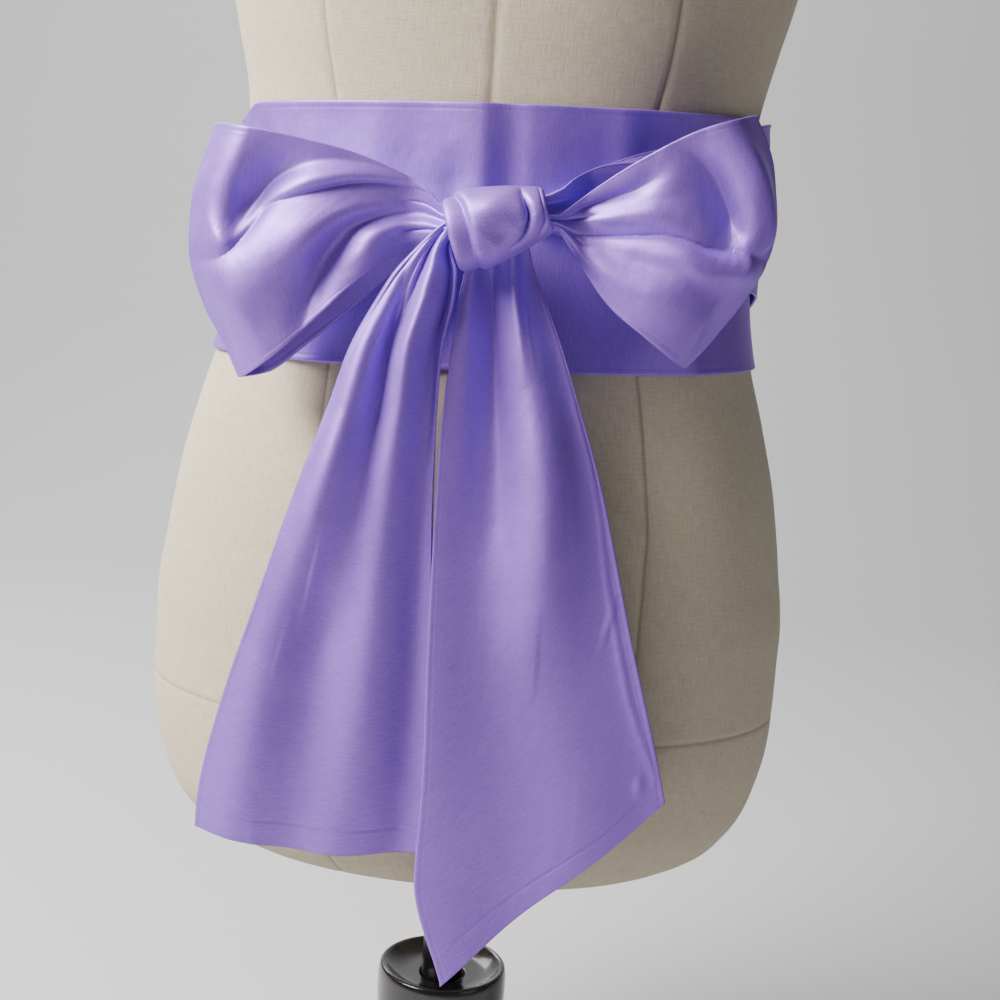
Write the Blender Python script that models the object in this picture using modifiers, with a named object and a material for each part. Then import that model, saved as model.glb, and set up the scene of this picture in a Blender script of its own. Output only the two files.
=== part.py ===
"""Satin sash tied in a bow round a limbless dress form on a short stand.

Metres, +Z up.  The front of the form faces -Y and the pole stands on the Z axis, with
the underside of the base at z = 0.  The sash is one strip of doubled satin.  Its middle
lies across the front, its two halves cross at the back, come round the sides as an outer
turn and are tied in front in a bow with two loops and two tails.
"""

import math
from collections import namedtuple

import bpy
import numpy as np

# ---- driving sizes -------------------------------------------------------------------
WAIST_Z = 0.560            # height of the middle of the waist above the floor
STRIP_WIDTH = 0.127        # width of the sash
CLOTH = 0.0012             # two layers of satin, sewn and turned
CLEAR = 0.0004             # gap between pieces that touch
BAND_GAP = 0.0013          # first turn to the form
BAND_ROLL = 0.0012         # how far its upper edge rolls outwards
BAND_MIDDLE = -0.005       # middle of the band, from the waist
BAND_TILT = 0.036          # the sash sits a little higher on the wearer's left (+X)
CROSSING = math.radians(30.0)   # half angle of the crossing at the back

FORM_COLUMNS = 40
BAND_COLUMNS = 36
BAND_ROWS = 6
KNOT_COLUMNS = 20
TURNED_STEPS = 32

POLE_RADIUS = 0.012
HUB_RADIUS = 0.0372        # turned hub with a dished top
HUB_RIM = 0.138            # top of its rounded rim
HUB_FOOT = 0.087
HUB_FLOOR = 0.1313         # middle of the dish, where the pole stands
HUB_DISH = ((0.0, 0.0), (0.42, 0.0), (0.62, 0.12), (0.78, 0.45), (0.88, 0.88))   # radius, height
HUB_SIDE = ((0.935, 1.0), (0.975, 0.98), (0.995, 0.93), (1.0, 0.85), (1.0, 0.68), (0.985, 0.52),
            (0.94, 0.36), (0.86, 0.20), (0.74, 0.07), (0.64, 0.0))               # radius, height
COLUMN_RADIUS = 0.017
BASE_RADIUS = 0.185
BASE_HEIGHT = 0.026

# ---- tables --------------------------------------------------------------------------
# z: from the waist; width: half width; front, back: depths from the section's middle.
FormRow = namedtuple("FormRow", "z width front back middle")
FORM_ROWS = [
    FormRow(-0.345, 0.078, 0.050, 0.050, 0.000),
    FormRow(-0.342, 0.112, 0.074, 0.076, 0.000),
    FormRow(-0.334, 0.138, 0.090, 0.093, 0.000),
    FormRow(-0.318, 0.156, 0.101, 0.106, 0.000),
    FormRow(-0.290, 0.168, 0.108, 0.117, 0.001),
    FormRow(-0.250, 0.173, 0.111, 0.124, 0.002),
    FormRow(-0.210, 0.173, 0.111, 0.125, 0.002),
    FormRow(-0.170, 0.168, 0.109, 0.120, 0.001),
    FormRow(-0.130, 0.161, 0.105, 0.110, 0.000),
    FormRow(-0.095, 0.152, 0.100, 0.099, 0.000),
    FormRow(-0.065, 0.143, 0.096, 0.091, 0.000),
    FormRow(-0.035, 0.137, 0.093, 0.085, 0.000),
    FormRow(-0.005, 0.134, 0.0905, 0.082, 0.000),
    FormRow(0.025, 0.133, 0.0895, 0.083, 0.000),
    FormRow(0.060, 0.134, 0.0905, 0.088, 0.000),
    FormRow(0.095, 0.141, 0.094, 0.095, 0.000),
    FormRow(0.130, 0.149, 0.098, 0.101, 0.001),
    FormRow(0.170, 0.155, 0.104, 0.106, 0.003),
    FormRow(0.210, 0.158, 0.104, 0.109, 0.006),
    FormRow(0.250, 0.160, 0.096, 0.110, 0.010),
    FormRow(0.290, 0.163, 0.085, 0.107, 0.014),
    FormRow(0.320, 0.166, 0.076, 0.098, 0.018),
    FormRow(0.340, 0.167, 0.068, 0.088, 0.020),
    FormRow(0.353, 0.161, 0.063, 0.080, 0.021),
    FormRow(0.363, 0.145, 0.059, 0.073, 0.022),
    FormRow(0.373, 0.119, 0.056, 0.066, 0.024),
    FormRow(0.383, 0.092, 0.053, 0.060, 0.025),
    FormRow(0.394, 0.072, 0.050, 0.055, 0.026),
    FormRow(0.410, 0.058, 0.047, 0.050, 0.026),
    FormRow(0.432, 0.053, 0.046, 0.048, 0.025),
    FormRow(0.455, 0.052, 0.046, 0.047, 0.024),
]
NECK_TOP = WAIST_Z + FORM_ROWS[-1].z
SECTION_POWER = 2.15       # 2 is an ellipse; a little more is a fuller section
BUST = namedtuple("Bust", "x z spread_x spread_z depth")(0.072, 0.185, 0.046, 0.052, 0.020)

# A turn of the sash: angle from the middle of the back in degrees, lower and upper edge
# from the waist, lift off the form, and how deep its gathers are.
WrapRow = namedtuple("WrapRow", "angle bottom top lift gather")
WRAP_LEFT = [
    WrapRow(-30, -0.0670, 0.0580, 0.0013, 0.0000),
    WrapRow(-14, -0.0240, 0.0595, 0.0015, 0.0010),
    WrapRow(-7, 0.0005, 0.0595, 0.0018, 0.0024),
    WrapRow(0, 0.0040, 0.0590, 0.0034, 0.0046),
    WrapRow(7, 0.0015, 0.0590, 0.0060, 0.0040),
    WrapRow(14, -0.0260, 0.0600, 0.0068, 0.0024),
    WrapRow(30, -0.0700, 0.0610, 0.0066, 0.0010),
    WrapRow(60, -0.0600, 0.0560, 0.0054, 0.0006),
    WrapRow(90, -0.0500, 0.0480, 0.0054, 0.0012),
    WrapRow(120, -0.0400, 0.0420, 0.0050, 0.0022),
    WrapRow(145, -0.0280, 0.0330, 0.0040, 0.0036),
    WrapRow(162, -0.0180, 0.0240, 0.0036, 0.0046),
    WrapRow(173, -0.0140, 0.0180, 0.0034, 0.0048),
]
WRAP_RIGHT = [
    WrapRow(-30, -0.0670, 0.0580, 0.0013, 0.0000),
    WrapRow(-14, -0.0660, 0.0120, 0.0015, 0.0010),
    WrapRow(-7, -0.0650, -0.0025, 0.0018, 0.0024),
    WrapRow(0, -0.0640, -0.0040, 0.0034, 0.0046),
    WrapRow(7, -0.0630, -0.0015, 0.0060, 0.0040),
    WrapRow(14, -0.0660, 0.0220, 0.0068, 0.0024),
    WrapRow(30, -0.0700, 0.0610, 0.0066, 0.0010),
    WrapRow(60, -0.0520, 0.0600, 0.0054, 0.0006),
    WrapRow(90, -0.0330, 0.0590, 0.0054, 0.0014),
    WrapRow(120, -0.0250, 0.0520, 0.0050, 0.0024),
    WrapRow(142, -0.0170, 0.0420, 0.0040, 0.0036),
    WrapRow(156, -0.0110, 0.0330, 0.0036, 0.0046),
    WrapRow(166, -0.0080, 0.0280, 0.0034, 0.0048),
]
WRAP_GATHERS = 3
WRAP_STEPS = 26
WRAP_ROWS = 7

# A loop, followed once round from its front root (turn -1) past its outer fold (turn 0)
# to its back root (turn 1): lower and upper edge from the waist, and half its depth.
LoopRow = namedtuple("LoopRow", "turn bottom top half_depth")
LoopShape = namedtuple("LoopShape", "side root_x middle_y bow_y outer rows")
LOOP_LEFT = LoopShape(
    side=-1, root_x=0.0165, middle_y=-0.1140, bow_y=0.004,
    outer=[(0.0, 0.110), (0.13, 0.118), (0.29, 0.129), (0.53, 0.137), (0.72, 0.136),
           (0.85, 0.132), (1.0, 0.126)],
    rows=[
        LoopRow(-1.00, -0.0080, 0.0120, 0.0045),
        LoopRow(-0.93, -0.0110, 0.0190, 0.0070),
        LoopRow(-0.78, -0.0220, 0.0285, 0.0135),
        LoopRow(-0.60, -0.0430, 0.0340, 0.0190),
        LoopRow(-0.35, -0.0670, 0.0380, 0.0195),
        LoopRow(0.00, -0.0790, 0.0400, 0.0000),
        LoopRow(0.25, -0.0770, 0.0390, 0.0125),
        LoopRow(0.50, -0.0600, 0.0340, 0.0130),
        LoopRow(0.72, -0.0380, 0.0260, 0.0100),
        LoopRow(0.90, -0.0170, 0.0170, 0.0060),
        LoopRow(1.00, -0.0090, 0.0120, 0.0040),
    ])
LOOP_RIGHT = LoopShape(
    side=1, root_x=0.0385, middle_y=-0.1140, bow_y=0.004,
    outer=[(0.0, 0.102), (0.08, 0.110), (0.29, 0.127), (0.46, 0.136), (0.57, 0.138),
           (0.72, 0.136), (0.84, 0.133), (1.0, 0.124)],
    rows=[
        LoopRow(-1.00, 0.0010, 0.0090, 0.0045),
        LoopRow(-0.87, -0.0150, 0.0230, 0.0090),
        LoopRow(-0.73, -0.0300, 0.0350, 0.0150),
        LoopRow(-0.50, -0.0430, 0.0490, 0.0205),
        LoopRow(-0.25, -0.0530, 0.0565, 0.0170),
        LoopRow(0.00, -0.0580, 0.0600, 0.0000),
        LoopRow(0.25, -0.0550, 0.0560, 0.0125),
        LoopRow(0.50, -0.0420, 0.0460, 0.0130),
        LoopRow(0.72, -0.0260, 0.0365, 0.0100),
        LoopRow(0.88, -0.0100, 0.0320, 0.0060),
        LoopRow(1.00, 0.0010, 0.0230, 0.0040),
    ])
LOOP_STEPS = 24
LOOP_ROWS = 9
LOOP_TIP_POWER = 1.55      # how round the outer fold is, seen from above
LOOP_PLEATS = 2.0          # pleats over the width, their depth and the reach they die out in
PLEAT_DEPTH = 0.0030
PLEAT_REACH = 0.30
HOLLOW_DEPTH = 0.0045      # long hollow in the front of a loop, at this share of its height
HOLLOW_SHARE = 0.70
HOLLOW_SPREAD = 0.10

# A tail from the knot down: depth below the waist, left and right edge, how far in front
# of the axis it hangs, and how deep its folds are.
TailRow = namedtuple("TailRow", "down left right front fold")
TailShape = namedtuple("TailShape", "rows folds phase hem_left hem_right hem_bow")
TAIL_LEFT = TailShape(
    rows=[
        TailRow(0.000, -0.0180, -0.0150, 0.1275, 0.0006),
        TailRow(0.010, -0.0240, -0.0130, 0.1290, 0.0020),
        TailRow(0.022, -0.0350, -0.0070, 0.1305, 0.0034),
        TailRow(0.033, -0.0415, -0.0075, 0.1310, 0.0046),
        TailRow(0.057, -0.0535, -0.0115, 0.1315, 0.0056),
        TailRow(0.084, -0.0620, -0.0120, 0.1310, 0.0054),
        TailRow(0.133, -0.0780, -0.0110, 0.1300, 0.0046),
        TailRow(0.183, -0.0930, -0.0085, 0.1290, 0.0038),
        TailRow(0.235, -0.1080, -0.0060, 0.1280, 0.0034),
        TailRow(0.281, -0.1180, -0.0050, 0.1270, 0.0030),
        TailRow(0.320, -0.1205, -0.0080, 0.1265, 0.0030),
    ],
    folds=2.0, phase=0.15, hem_left=0.303, hem_right=0.309, hem_bow=0.005)
TAIL_RIGHT = TailShape(
    rows=[
        TailRow(0.016, -0.0030, 0.0270, 0.1140, 0.0026),
        TailRow(0.030, -0.0055, 0.0340, 0.1180, 0.0045),
        TailRow(0.050, -0.0070, 0.0430, 0.1200, 0.0055),
        TailRow(0.076, -0.0090, 0.0530, 0.1205, 0.0053),
        TailRow(0.113, -0.0100, 0.0665, 0.1210, 0.0050),
        TailRow(0.189, -0.0090, 0.0880, 0.1210, 0.0042),
        TailRow(0.268, -0.0070, 0.1110, 0.1205, 0.0034),
        TailRow(0.316, -0.0080, 0.1220, 0.1200, 0.0030),
        TailRow(0.374, 0.0080, 0.1330, 0.1200, 0.0030),
    ],
    folds=1.5, phase=0.55, hem_left=0.3755, hem_right=0.2735, hem_bow=0.0)
TAIL_STEPS = 16
TAIL_ROWS = 10
TAIL_CROWDING = 1.15       # sections stand closer together near the knot

# The knot is a barrel on a sloping axis: place along it, half height and half depth.
KnotRow = namedtuple("KnotRow", "along height depth")
KNOT_ROWS = [
    KnotRow(-0.0185, 0.0105, 0.0080),
    KnotRow(-0.0228, 0.0140, 0.0110),
    KnotRow(-0.0215, 0.0168, 0.0140),
    KnotRow(-0.0140, 0.0178, 0.0158),
    KnotRow(-0.0040, 0.0168, 0.0164),
    KnotRow(0.0060, 0.0150, 0.0160),
    KnotRow(0.0150, 0.0128, 0.0148),
    KnotRow(0.0220, 0.0108, 0.0128),
    KnotRow(0.0232, 0.0088, 0.0100),
    KnotRow(0.0190, 0.0066, 0.0072),
]
KNOT_CENTRE = (0.0130, -0.1285, 0.0030)
KNOT_SLOPE = math.radians(19.0)

SATIN = (0.33, 0.24, 0.62, 1.0)
LINEN = (0.60, 0.54, 0.43, 1.0)
BLACK = (0.012, 0.012, 0.013, 1.0)


# ---- curves and sections -------------------------------------------------------------
def smooth(knots, values, at):
    """Cubic Hermite curve through a table, with slopes limited so that it never overshoots."""
    knots, values, at = (np.asarray(item, dtype=float) for item in (knots, values, at))
    step = np.diff(knots)
    slope = np.diff(values) / step
    tangent = np.empty_like(values)
    tangent[0], tangent[-1] = slope[0], slope[-1]
    inner = (slope[:-1] + slope[1:]) / 2
    limit = 3 * np.minimum(abs(slope[:-1]), abs(slope[1:]))
    inner = np.clip(inner, -limit, limit)
    inner[slope[:-1] * slope[1:] <= 0] = 0.0
    tangent[1:-1] = inner
    cell = np.clip(np.searchsorted(knots, at, side="right") - 1, 0, len(step) - 1)
    t = (at - knots[cell]) / step[cell]
    h = step[cell]
    return ((2 * t**3 - 3 * t**2 + 1) * values[cell]
            + (t**3 - 2 * t**2 + t) * h * tangent[cell]
            + (-2 * t**3 + 3 * t**2) * values[cell + 1]
            + (t**3 - t**2) * h * tangent[cell + 1])


def column(rows, name):
    """One named column of a table."""
    return np.array([getattr(row, name) for row in rows], dtype=float)


def form_surface(angle, z, lift=0.0):
    """Points of the form's skin, moved out by lift; angle 0 is the back, +90 the left side.

    z is measured from the waist.
    """
    knots = column(FORM_ROWS, "z")
    width = smooth(knots, column(FORM_ROWS, "width"), z) + lift
    front = smooth(knots, column(FORM_ROWS, "front"), z) + lift
    back = smooth(knots, column(FORM_ROWS, "back"), z) + lift
    middle = smooth(knots, column(FORM_ROWS, "middle"), z)
    across, along = -np.sin(angle), np.cos(angle)
    power = 2.0 / SECTION_POWER
    x = width * np.sign(across) * abs(across) ** power
    y = np.where(along < 0, front, back) * np.sign(along) * abs(along) ** power
    cup = np.exp(-((abs(x) - BUST.x) / BUST.spread_x) ** 2 - ((z - BUST.z) / BUST.spread_z) ** 2)
    y = y + middle - np.where(along < 0, BUST.depth * cup, 0.0)
    return np.stack(np.broadcast_arrays(x, y, z + WAIST_Z), axis=-1)


# ---- mesh helpers --------------------------------------------------------------------
def material(name, colour, roughness, metallic=0.0):
    """A Principled material with one colour."""
    made = bpy.data.materials.new(name)
    made.use_nodes = True
    shader = made.node_tree.nodes["Principled BSDF"]
    shader.inputs["Base Color"].default_value = colour
    shader.inputs["Roughness"].default_value = roughness
    shader.inputs["Metallic"].default_value = metallic
    made.diffuse_color = colour
    return made


def clear_scene():
    """Remove every object of the open scene."""
    for item in list(bpy.data.objects):
        bpy.data.objects.remove(item, do_unlink=True)


def grid_object(name, points, finish, closed=False, caps=False):
    """Quads through a grid of points: rows along the first axis, columns along the second."""
    rows, columns = points.shape[:2]
    index = np.arange(rows * columns).reshape(rows, columns)
    if closed:
        index = np.concatenate([index, index[:, :1]], axis=1)
    quads = np.stack([index[:-1, :-1], index[:-1, 1:], index[1:, 1:], index[1:, :-1]], axis=-1)
    faces = [tuple(quad) for quad in quads.reshape(-1, 4).tolist()]
    if caps:
        faces.append(tuple(reversed(index[0, :columns].tolist())))
        faces.append(tuple(index[-1, :columns].tolist()))
    mesh = bpy.data.meshes.new(name)
    mesh.from_pydata(points.reshape(-1, 3).tolist(), [], faces)
    mesh.shade_smooth()
    made = bpy.data.objects.new(name, mesh)
    made.data.materials.append(finish)
    PARTS.objects.link(made)
    return made


def thicken(made, offset):
    """Give a sheet its cloth thickness: offset 1 builds outwards, 0 both ways."""
    wall = made.modifiers.new("cloth", "SOLIDIFY")
    wall.thickness = CLOTH
    wall.offset = offset
    wall.use_even_offset = False


def turned(name, profile, finish):
    """A solid turned round the Z axis from (radius, z) points that run top to bottom."""
    mesh = bpy.data.meshes.new(name)
    edges = [(i, i + 1) for i in range(len(profile) - 1)]
    mesh.from_pydata([(radius, 0.0, z) for radius, z in profile], edges, [])
    made = bpy.data.objects.new(name, mesh)
    made.data.materials.append(finish)
    PARTS.objects.link(made)
    screw = made.modifiers.new("turn", "SCREW")
    screw.axis = "Z"
    screw.steps = TURNED_STEPS
    screw.render_steps = TURNED_STEPS
    screw.use_merge_vertices = True
    screw.merge_threshold = 0.00005
    return made


# ---- the dress form ------------------------------------------------------------------
def form_body():
    """The padded torso, whole from its rounded bottom edge to its neck."""
    angle = np.linspace(0, 2 * math.pi, FORM_COLUMNS, endpoint=False)
    heights = column(FORM_ROWS, "z")
    points = form_surface(angle[None, :], heights[:, None])
    grid_object("form_body", points, LINEN_COVER, closed=True, caps=True)


def form_neck_cap():
    """A low domed lid on the neck."""
    lid = FORM_ROWS[-1]
    bottom = NECK_TOP + CLEAR
    dome = [(0.0, 0.018), (0.6, 0.0165), (0.9, 0.0125), (1.0, 0.007), (1.0, 0.0), (0.0, 0.0)]
    made = turned("form_neck_cap", [(lid.width * 1.02 * r, z) for r, z in dome], BLACK_WOOD)
    depth = (lid.front + lid.back) / 2
    made.scale = (1.0, depth / lid.width, 1.0)
    made.location = (0.0, lid.middle + (lid.back - lid.front) / 2, bottom)


# ---- the stand -----------------------------------------------------------------------
def stand():
    """Pole, turned hub and column, and a round base."""
    form_bottom = WAIST_Z + FORM_ROWS[0].z
    turned("stand_pole", [
        (0.0, form_bottom - CLEAR), (POLE_RADIUS, form_bottom - CLEAR),
        (POLE_RADIUS, HUB_FLOOR + CLEAR), (0.0, HUB_FLOOR + CLEAR)], BLACK_STEEL)
    dish = [(HUB_RADIUS * r, HUB_FLOOR + (HUB_RIM - HUB_FLOOR) * z) for r, z in HUB_DISH]
    side = [(HUB_RADIUS * r, HUB_FOOT + (HUB_RIM - HUB_FOOT) * z) for r, z in HUB_SIDE]
    turned("stand_hub", dish + side + [(0.0, HUB_FOOT)], BLACK_WOOD)
    column_top = HUB_FOOT - CLEAR
    column_foot = BASE_HEIGHT + CLEAR
    turned("stand_column", [
        (0.0, column_top), (COLUMN_RADIUS * 0.9, column_top),
        (COLUMN_RADIUS, (column_top + column_foot) / 2),
        (COLUMN_RADIUS * 1.5, column_foot + 0.006),
        (COLUMN_RADIUS * 1.6, column_foot), (0.0, column_foot)], BLACK_WOOD)
    rim = BASE_HEIGHT * 0.45
    turned("stand_base", [
        (0.0, BASE_HEIGHT), (0.060, BASE_HEIGHT), (0.120, BASE_HEIGHT * 0.86),
        (BASE_RADIUS - 0.006, rim + 0.003), (BASE_RADIUS, rim - 0.002),
        (BASE_RADIUS, 0.0), (0.0, 0.0)], BLACK_WOOD)


# ---- the sash ------------------------------------------------------------------------
def sash_band():
    """The first turn: flat across the front and round both sides to the crossing."""
    angle = np.linspace(CROSSING, 2 * math.pi - CROSSING, BAND_COLUMNS)[None, :]
    share = np.linspace(-0.5, 0.5, BAND_ROWS)[:, None]
    x = form_surface(angle, 0.0 * angle)[..., 0]
    z = BAND_MIDDLE + share * STRIP_WIDTH + BAND_TILT * x
    stand_off = BAND_GAP + BAND_ROLL * np.clip(share * 2, 0, 1) ** 2
    points = form_surface(angle, z, stand_off)
    thicken(grid_object("sash_band", points, SATIN_CLOTH), 1.0)


def sash_wrap(name, rows, side):
    """The second turn of one half: from the crossing round its side to the knot.

    side -1 runs round the wearer's right (-X), +1 round the left.
    """
    knots = column(rows, "angle")
    clear_turn = math.degrees(CLEAR / 0.1)
    degrees = np.linspace(knots[0] + clear_turn, knots[-1], WRAP_STEPS)[None, :]
    share = np.linspace(0, 1, WRAP_ROWS)[:, None]
    bottom, top, lift, gather = (
        smooth(knots, column(rows, name), degrees) for name in ("bottom", "top", "lift", "gather"))
    ripple = (1 - np.cos(2 * math.pi * WRAP_GATHERS * share)) / 2
    angle = np.radians(degrees) * -side
    x = form_surface(angle, 0.0 * angle)[..., 0]
    z = bottom + (top - bottom) * share + BAND_TILT * x
    points = form_surface(angle + 0 * share, z, lift + gather * ripple)
    if side > 0:
        points = points[:, ::-1]
    thicken(grid_object(name, points, SATIN_CLOTH), 1.0)


def sash_loop(name, shape):
    """One loop of the bow: out from the knot, round its outer fold and back behind.

    turn runs from -1 at the front root to 1 at the back root.  The reach falls away from
    the outer fold as a power of turn, which rounds the fold; the height is shared between
    the edges, and pleats at the root die out along the loop.
    """
    turn = np.linspace(-1, 1, LOOP_STEPS)[None, :]
    share = np.linspace(0, 1, LOOP_ROWS)[:, None]
    knots = column(shape.rows, "turn")
    bottom = smooth(knots, column(shape.rows, "bottom"), turn)
    top = smooth(knots, column(shape.rows, "top"), turn)
    half_depth = smooth(knots, column(shape.rows, "half_depth"), turn)
    reach = 1 - abs(turn) ** LOOP_TIP_POWER
    outer = smooth([row[0] for row in shape.outer], [row[1] for row in shape.outer], share)
    x = shape.root_x + (outer - shape.root_x) * reach
    pleat = PLEAT_DEPTH * np.exp(-reach / PLEAT_REACH) * np.cos(2 * math.pi * LOOP_PLEATS * share)
    section = np.exp(-((share - HOLLOW_SHARE) / HOLLOW_SPREAD) ** 2)
    hollow = HOLLOW_DEPTH * section * np.sin(math.pi * reach) * (turn < 0)
    y = shape.middle_y + shape.bow_y * reach + np.sign(turn) * half_depth + pleat + hollow
    z = bottom + (top - bottom) * share + WAIST_Z
    points = np.stack(np.broadcast_arrays(shape.side * x, y, z), axis=-1)
    if shape.side > 0:
        points = points[:, ::-1]
    thicken(grid_object(name, points, SATIN_CLOTH), 0.0)


def sash_tail(name, shape):
    """One tail: gathered under the knot, spreading in soft folds to its cut end."""
    share = np.linspace(0, 1, TAIL_ROWS)[None, :]
    hem = (shape.hem_left + (shape.hem_right - shape.hem_left) * share
           + shape.hem_bow * np.sin(math.pi * share))
    fall = np.linspace(0, 1, TAIL_STEPS)[:, None] ** TAIL_CROWDING
    start = shape.rows[0].down
    down = start + (hem - start) * fall
    knots = column(shape.rows, "down")
    left, right, front, fold = (
        smooth(knots, column(shape.rows, name), down) for name in ("left", "right", "front", "fold"))
    x = left + (right - left) * share
    y = -front + fold * np.cos(2 * math.pi * (shape.folds * share + shape.phase))
    points = np.stack(np.broadcast_arrays(x, y, WAIST_Z - down), axis=-1)
    thicken(grid_object(name, points[::-1], SATIN_CLOTH), 0.0)


def sash_knot():
    """The knot: a wrapped barrel with dished ends that the loops come out of."""
    angle = np.linspace(0, 2 * math.pi, KNOT_COLUMNS, endpoint=False)[None, :]
    along = column(KNOT_ROWS, "along")[:, None] + 0 * angle
    height = column(KNOT_ROWS, "height")[:, None] * np.sin(angle)
    depth = column(KNOT_ROWS, "depth")[:, None] * np.cos(angle)
    x = along * math.cos(KNOT_SLOPE) - height * math.sin(KNOT_SLOPE) + KNOT_CENTRE[0]
    z = along * math.sin(KNOT_SLOPE) + height * math.cos(KNOT_SLOPE) + KNOT_CENTRE[2] + WAIST_Z
    points = np.stack([x, depth + KNOT_CENTRE[1], z], axis=-1)
    grid_object("sash_knot", points, SATIN_CLOTH, closed=True, caps=True)


clear_scene()
PARTS = bpy.data.collections.new("satin_sash_on_dress_form")
bpy.context.scene.collection.children.link(PARTS)
SATIN_CLOTH = material("lilac satin", SATIN, 0.38)
LINEN_COVER = material("natural linen", LINEN, 0.85)
BLACK_WOOD = material("black lacquered wood", BLACK, 0.25)
BLACK_STEEL = material("black enamelled steel", BLACK, 0.32)

form_body()
form_neck_cap()
stand()
sash_band()
sash_wrap("sash_wrap_left", WRAP_LEFT, -1)
sash_wrap("sash_wrap_right", WRAP_RIGHT, 1)
sash_loop("sash_loop_left", LOOP_LEFT)
sash_loop("sash_loop_right", LOOP_RIGHT)
sash_tail("sash_tail_left", TAIL_LEFT)
sash_tail("sash_tail_right", TAIL_RIGHT)
sash_knot()
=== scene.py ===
"""Looks of a satin sash tied in a bow round a limbless dress form on a short stand.

Metres, +Z up, front towards -Y.  Every cloth piece is a thin shell about a surface that is
worked out with numpy from the same few tables as the solids, with its creases laid on as
soft ridges and troughs.
"""
import logging
import math
from dataclasses import dataclass
from enum import Enum
from typing import NamedTuple

import bpy
import numpy as np
from mathutils import Matrix, Vector


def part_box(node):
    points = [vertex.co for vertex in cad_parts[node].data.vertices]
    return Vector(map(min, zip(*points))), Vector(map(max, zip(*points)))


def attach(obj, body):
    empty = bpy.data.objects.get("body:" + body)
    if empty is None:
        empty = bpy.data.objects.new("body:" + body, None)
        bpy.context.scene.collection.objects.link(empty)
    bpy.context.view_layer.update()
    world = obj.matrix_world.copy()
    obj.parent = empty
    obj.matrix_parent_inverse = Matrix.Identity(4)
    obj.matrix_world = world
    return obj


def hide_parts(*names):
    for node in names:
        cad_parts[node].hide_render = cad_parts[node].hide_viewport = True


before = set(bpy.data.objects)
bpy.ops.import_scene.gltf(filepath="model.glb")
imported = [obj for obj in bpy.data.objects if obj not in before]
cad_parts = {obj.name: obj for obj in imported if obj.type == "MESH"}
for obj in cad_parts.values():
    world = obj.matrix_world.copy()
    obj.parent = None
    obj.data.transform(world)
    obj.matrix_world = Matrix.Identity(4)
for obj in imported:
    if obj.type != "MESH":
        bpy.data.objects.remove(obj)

LOG = logging.getLogger("sash")

# ---- driving sizes, in metres --------------------------------------------------------
MM = 0.001
FLOOR_Z = 0.0
WAIST_Z = 0.560            # middle of the waist above the floor
STRIP_WIDTH = 0.127        # width of the finished sash
CLOTH = 0.0012             # two layers of satin, sewn and turned
BAND_MIDDLE = -0.005       # middle of the first turn, from the waist
BAND_TILT = 0.036          # rise of the sash towards the wearer's left (+X)
BAND_GAP = 0.0013          # first turn to the form
CROSSING = math.radians(30.0)   # ends of the first turn, from the middle of the back
HEM = 0.0032               # stitched line inside each long edge
END_HEM = 0.0120           # turned hem of a cut end
EDGE_ROUND = 0.9 * MM      # distance over which a folded edge rounds off
NO_END = 1.0               # distance that stands for a cut end out of sight


class Slot(Enum):
    """Material slots of the record."""

    SATIN = "satin"
    LINEN = "linen"
    BLACK_WOOD = "black_wood"
    STEEL = "steel"


class Held(Enum):
    """How a sheet of cloth is held."""

    HUNG = "hung"
    GATHERED = "gathered"
    STRETCHED = "stretched"


# ---- numbers and curves --------------------------------------------------------------
def smooth(knots: np.ndarray, values: np.ndarray, at: np.ndarray) -> np.ndarray:
    """Read a cubic Hermite curve whose slopes are limited so that it never overshoots.

    Args:
        knots: rising places where the value is known.
        values: value at each knot.
        at: places to read, of any shape.

    Returns:
        The curve's values, in the shape of ``at``.
    """
    knots, values, at = (np.asarray(item, dtype=float) for item in (knots, values, at))
    step = np.diff(knots)
    slope = np.diff(values) / step
    tangent = np.empty_like(values)
    tangent[0], tangent[-1] = slope[0], slope[-1]
    inner = (slope[:-1] + slope[1:]) / 2
    limit = 3 * np.minimum(abs(slope[:-1]), abs(slope[1:]))
    inner = np.clip(inner, -limit, limit)
    inner[slope[:-1] * slope[1:] <= 0] = 0.0
    tangent[1:-1] = inner
    at = np.clip(at, knots[0], knots[-1])
    cell = np.clip(np.searchsorted(knots, at, side="right") - 1, 0, len(step) - 1)
    t = (at - knots[cell]) / step[cell]
    h = step[cell]
    return ((2 * t**3 - 3 * t**2 + 1) * values[cell] + (t**3 - 2 * t**2 + t) * h * tangent[cell]
            + (-2 * t**3 + 3 * t**2) * values[cell + 1] + (t**3 - t**2) * h * tangent[cell + 1])


def read_table(rows: tuple, at: np.ndarray) -> list:
    """Read a table whose first column is the place and whose others are smooth curves.

    Args:
        rows: the table's rows, with the place rising.
        at: places to read, of any shape.

    Returns:
        One array for each column after the first.
    """
    place, *curves = np.array(rows, dtype=float).T
    return [smooth(place, curve, at) for curve in curves]


def ease(value: np.ndarray) -> np.ndarray:
    """Return the smooth step 3t^2 - 2t^3 of a value held to 0..1."""
    t = np.clip(value, 0.0, 1.0)
    return t * t * (3 - 2 * t)


def quarter_round(distance: np.ndarray, reach: float) -> np.ndarray:
    """Return a rise from 0 at an edge to 1 at the reach, along a quarter circle."""
    return np.sqrt(1 - (1 - np.clip(distance / reach, 0, 1)) ** 2)


def unit(vectors: np.ndarray) -> np.ndarray:
    """Return vectors scaled to length 1 along the last axis."""
    return vectors / np.maximum(np.linalg.norm(vectors, axis=-1, keepdims=True), 1e-12)


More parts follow.
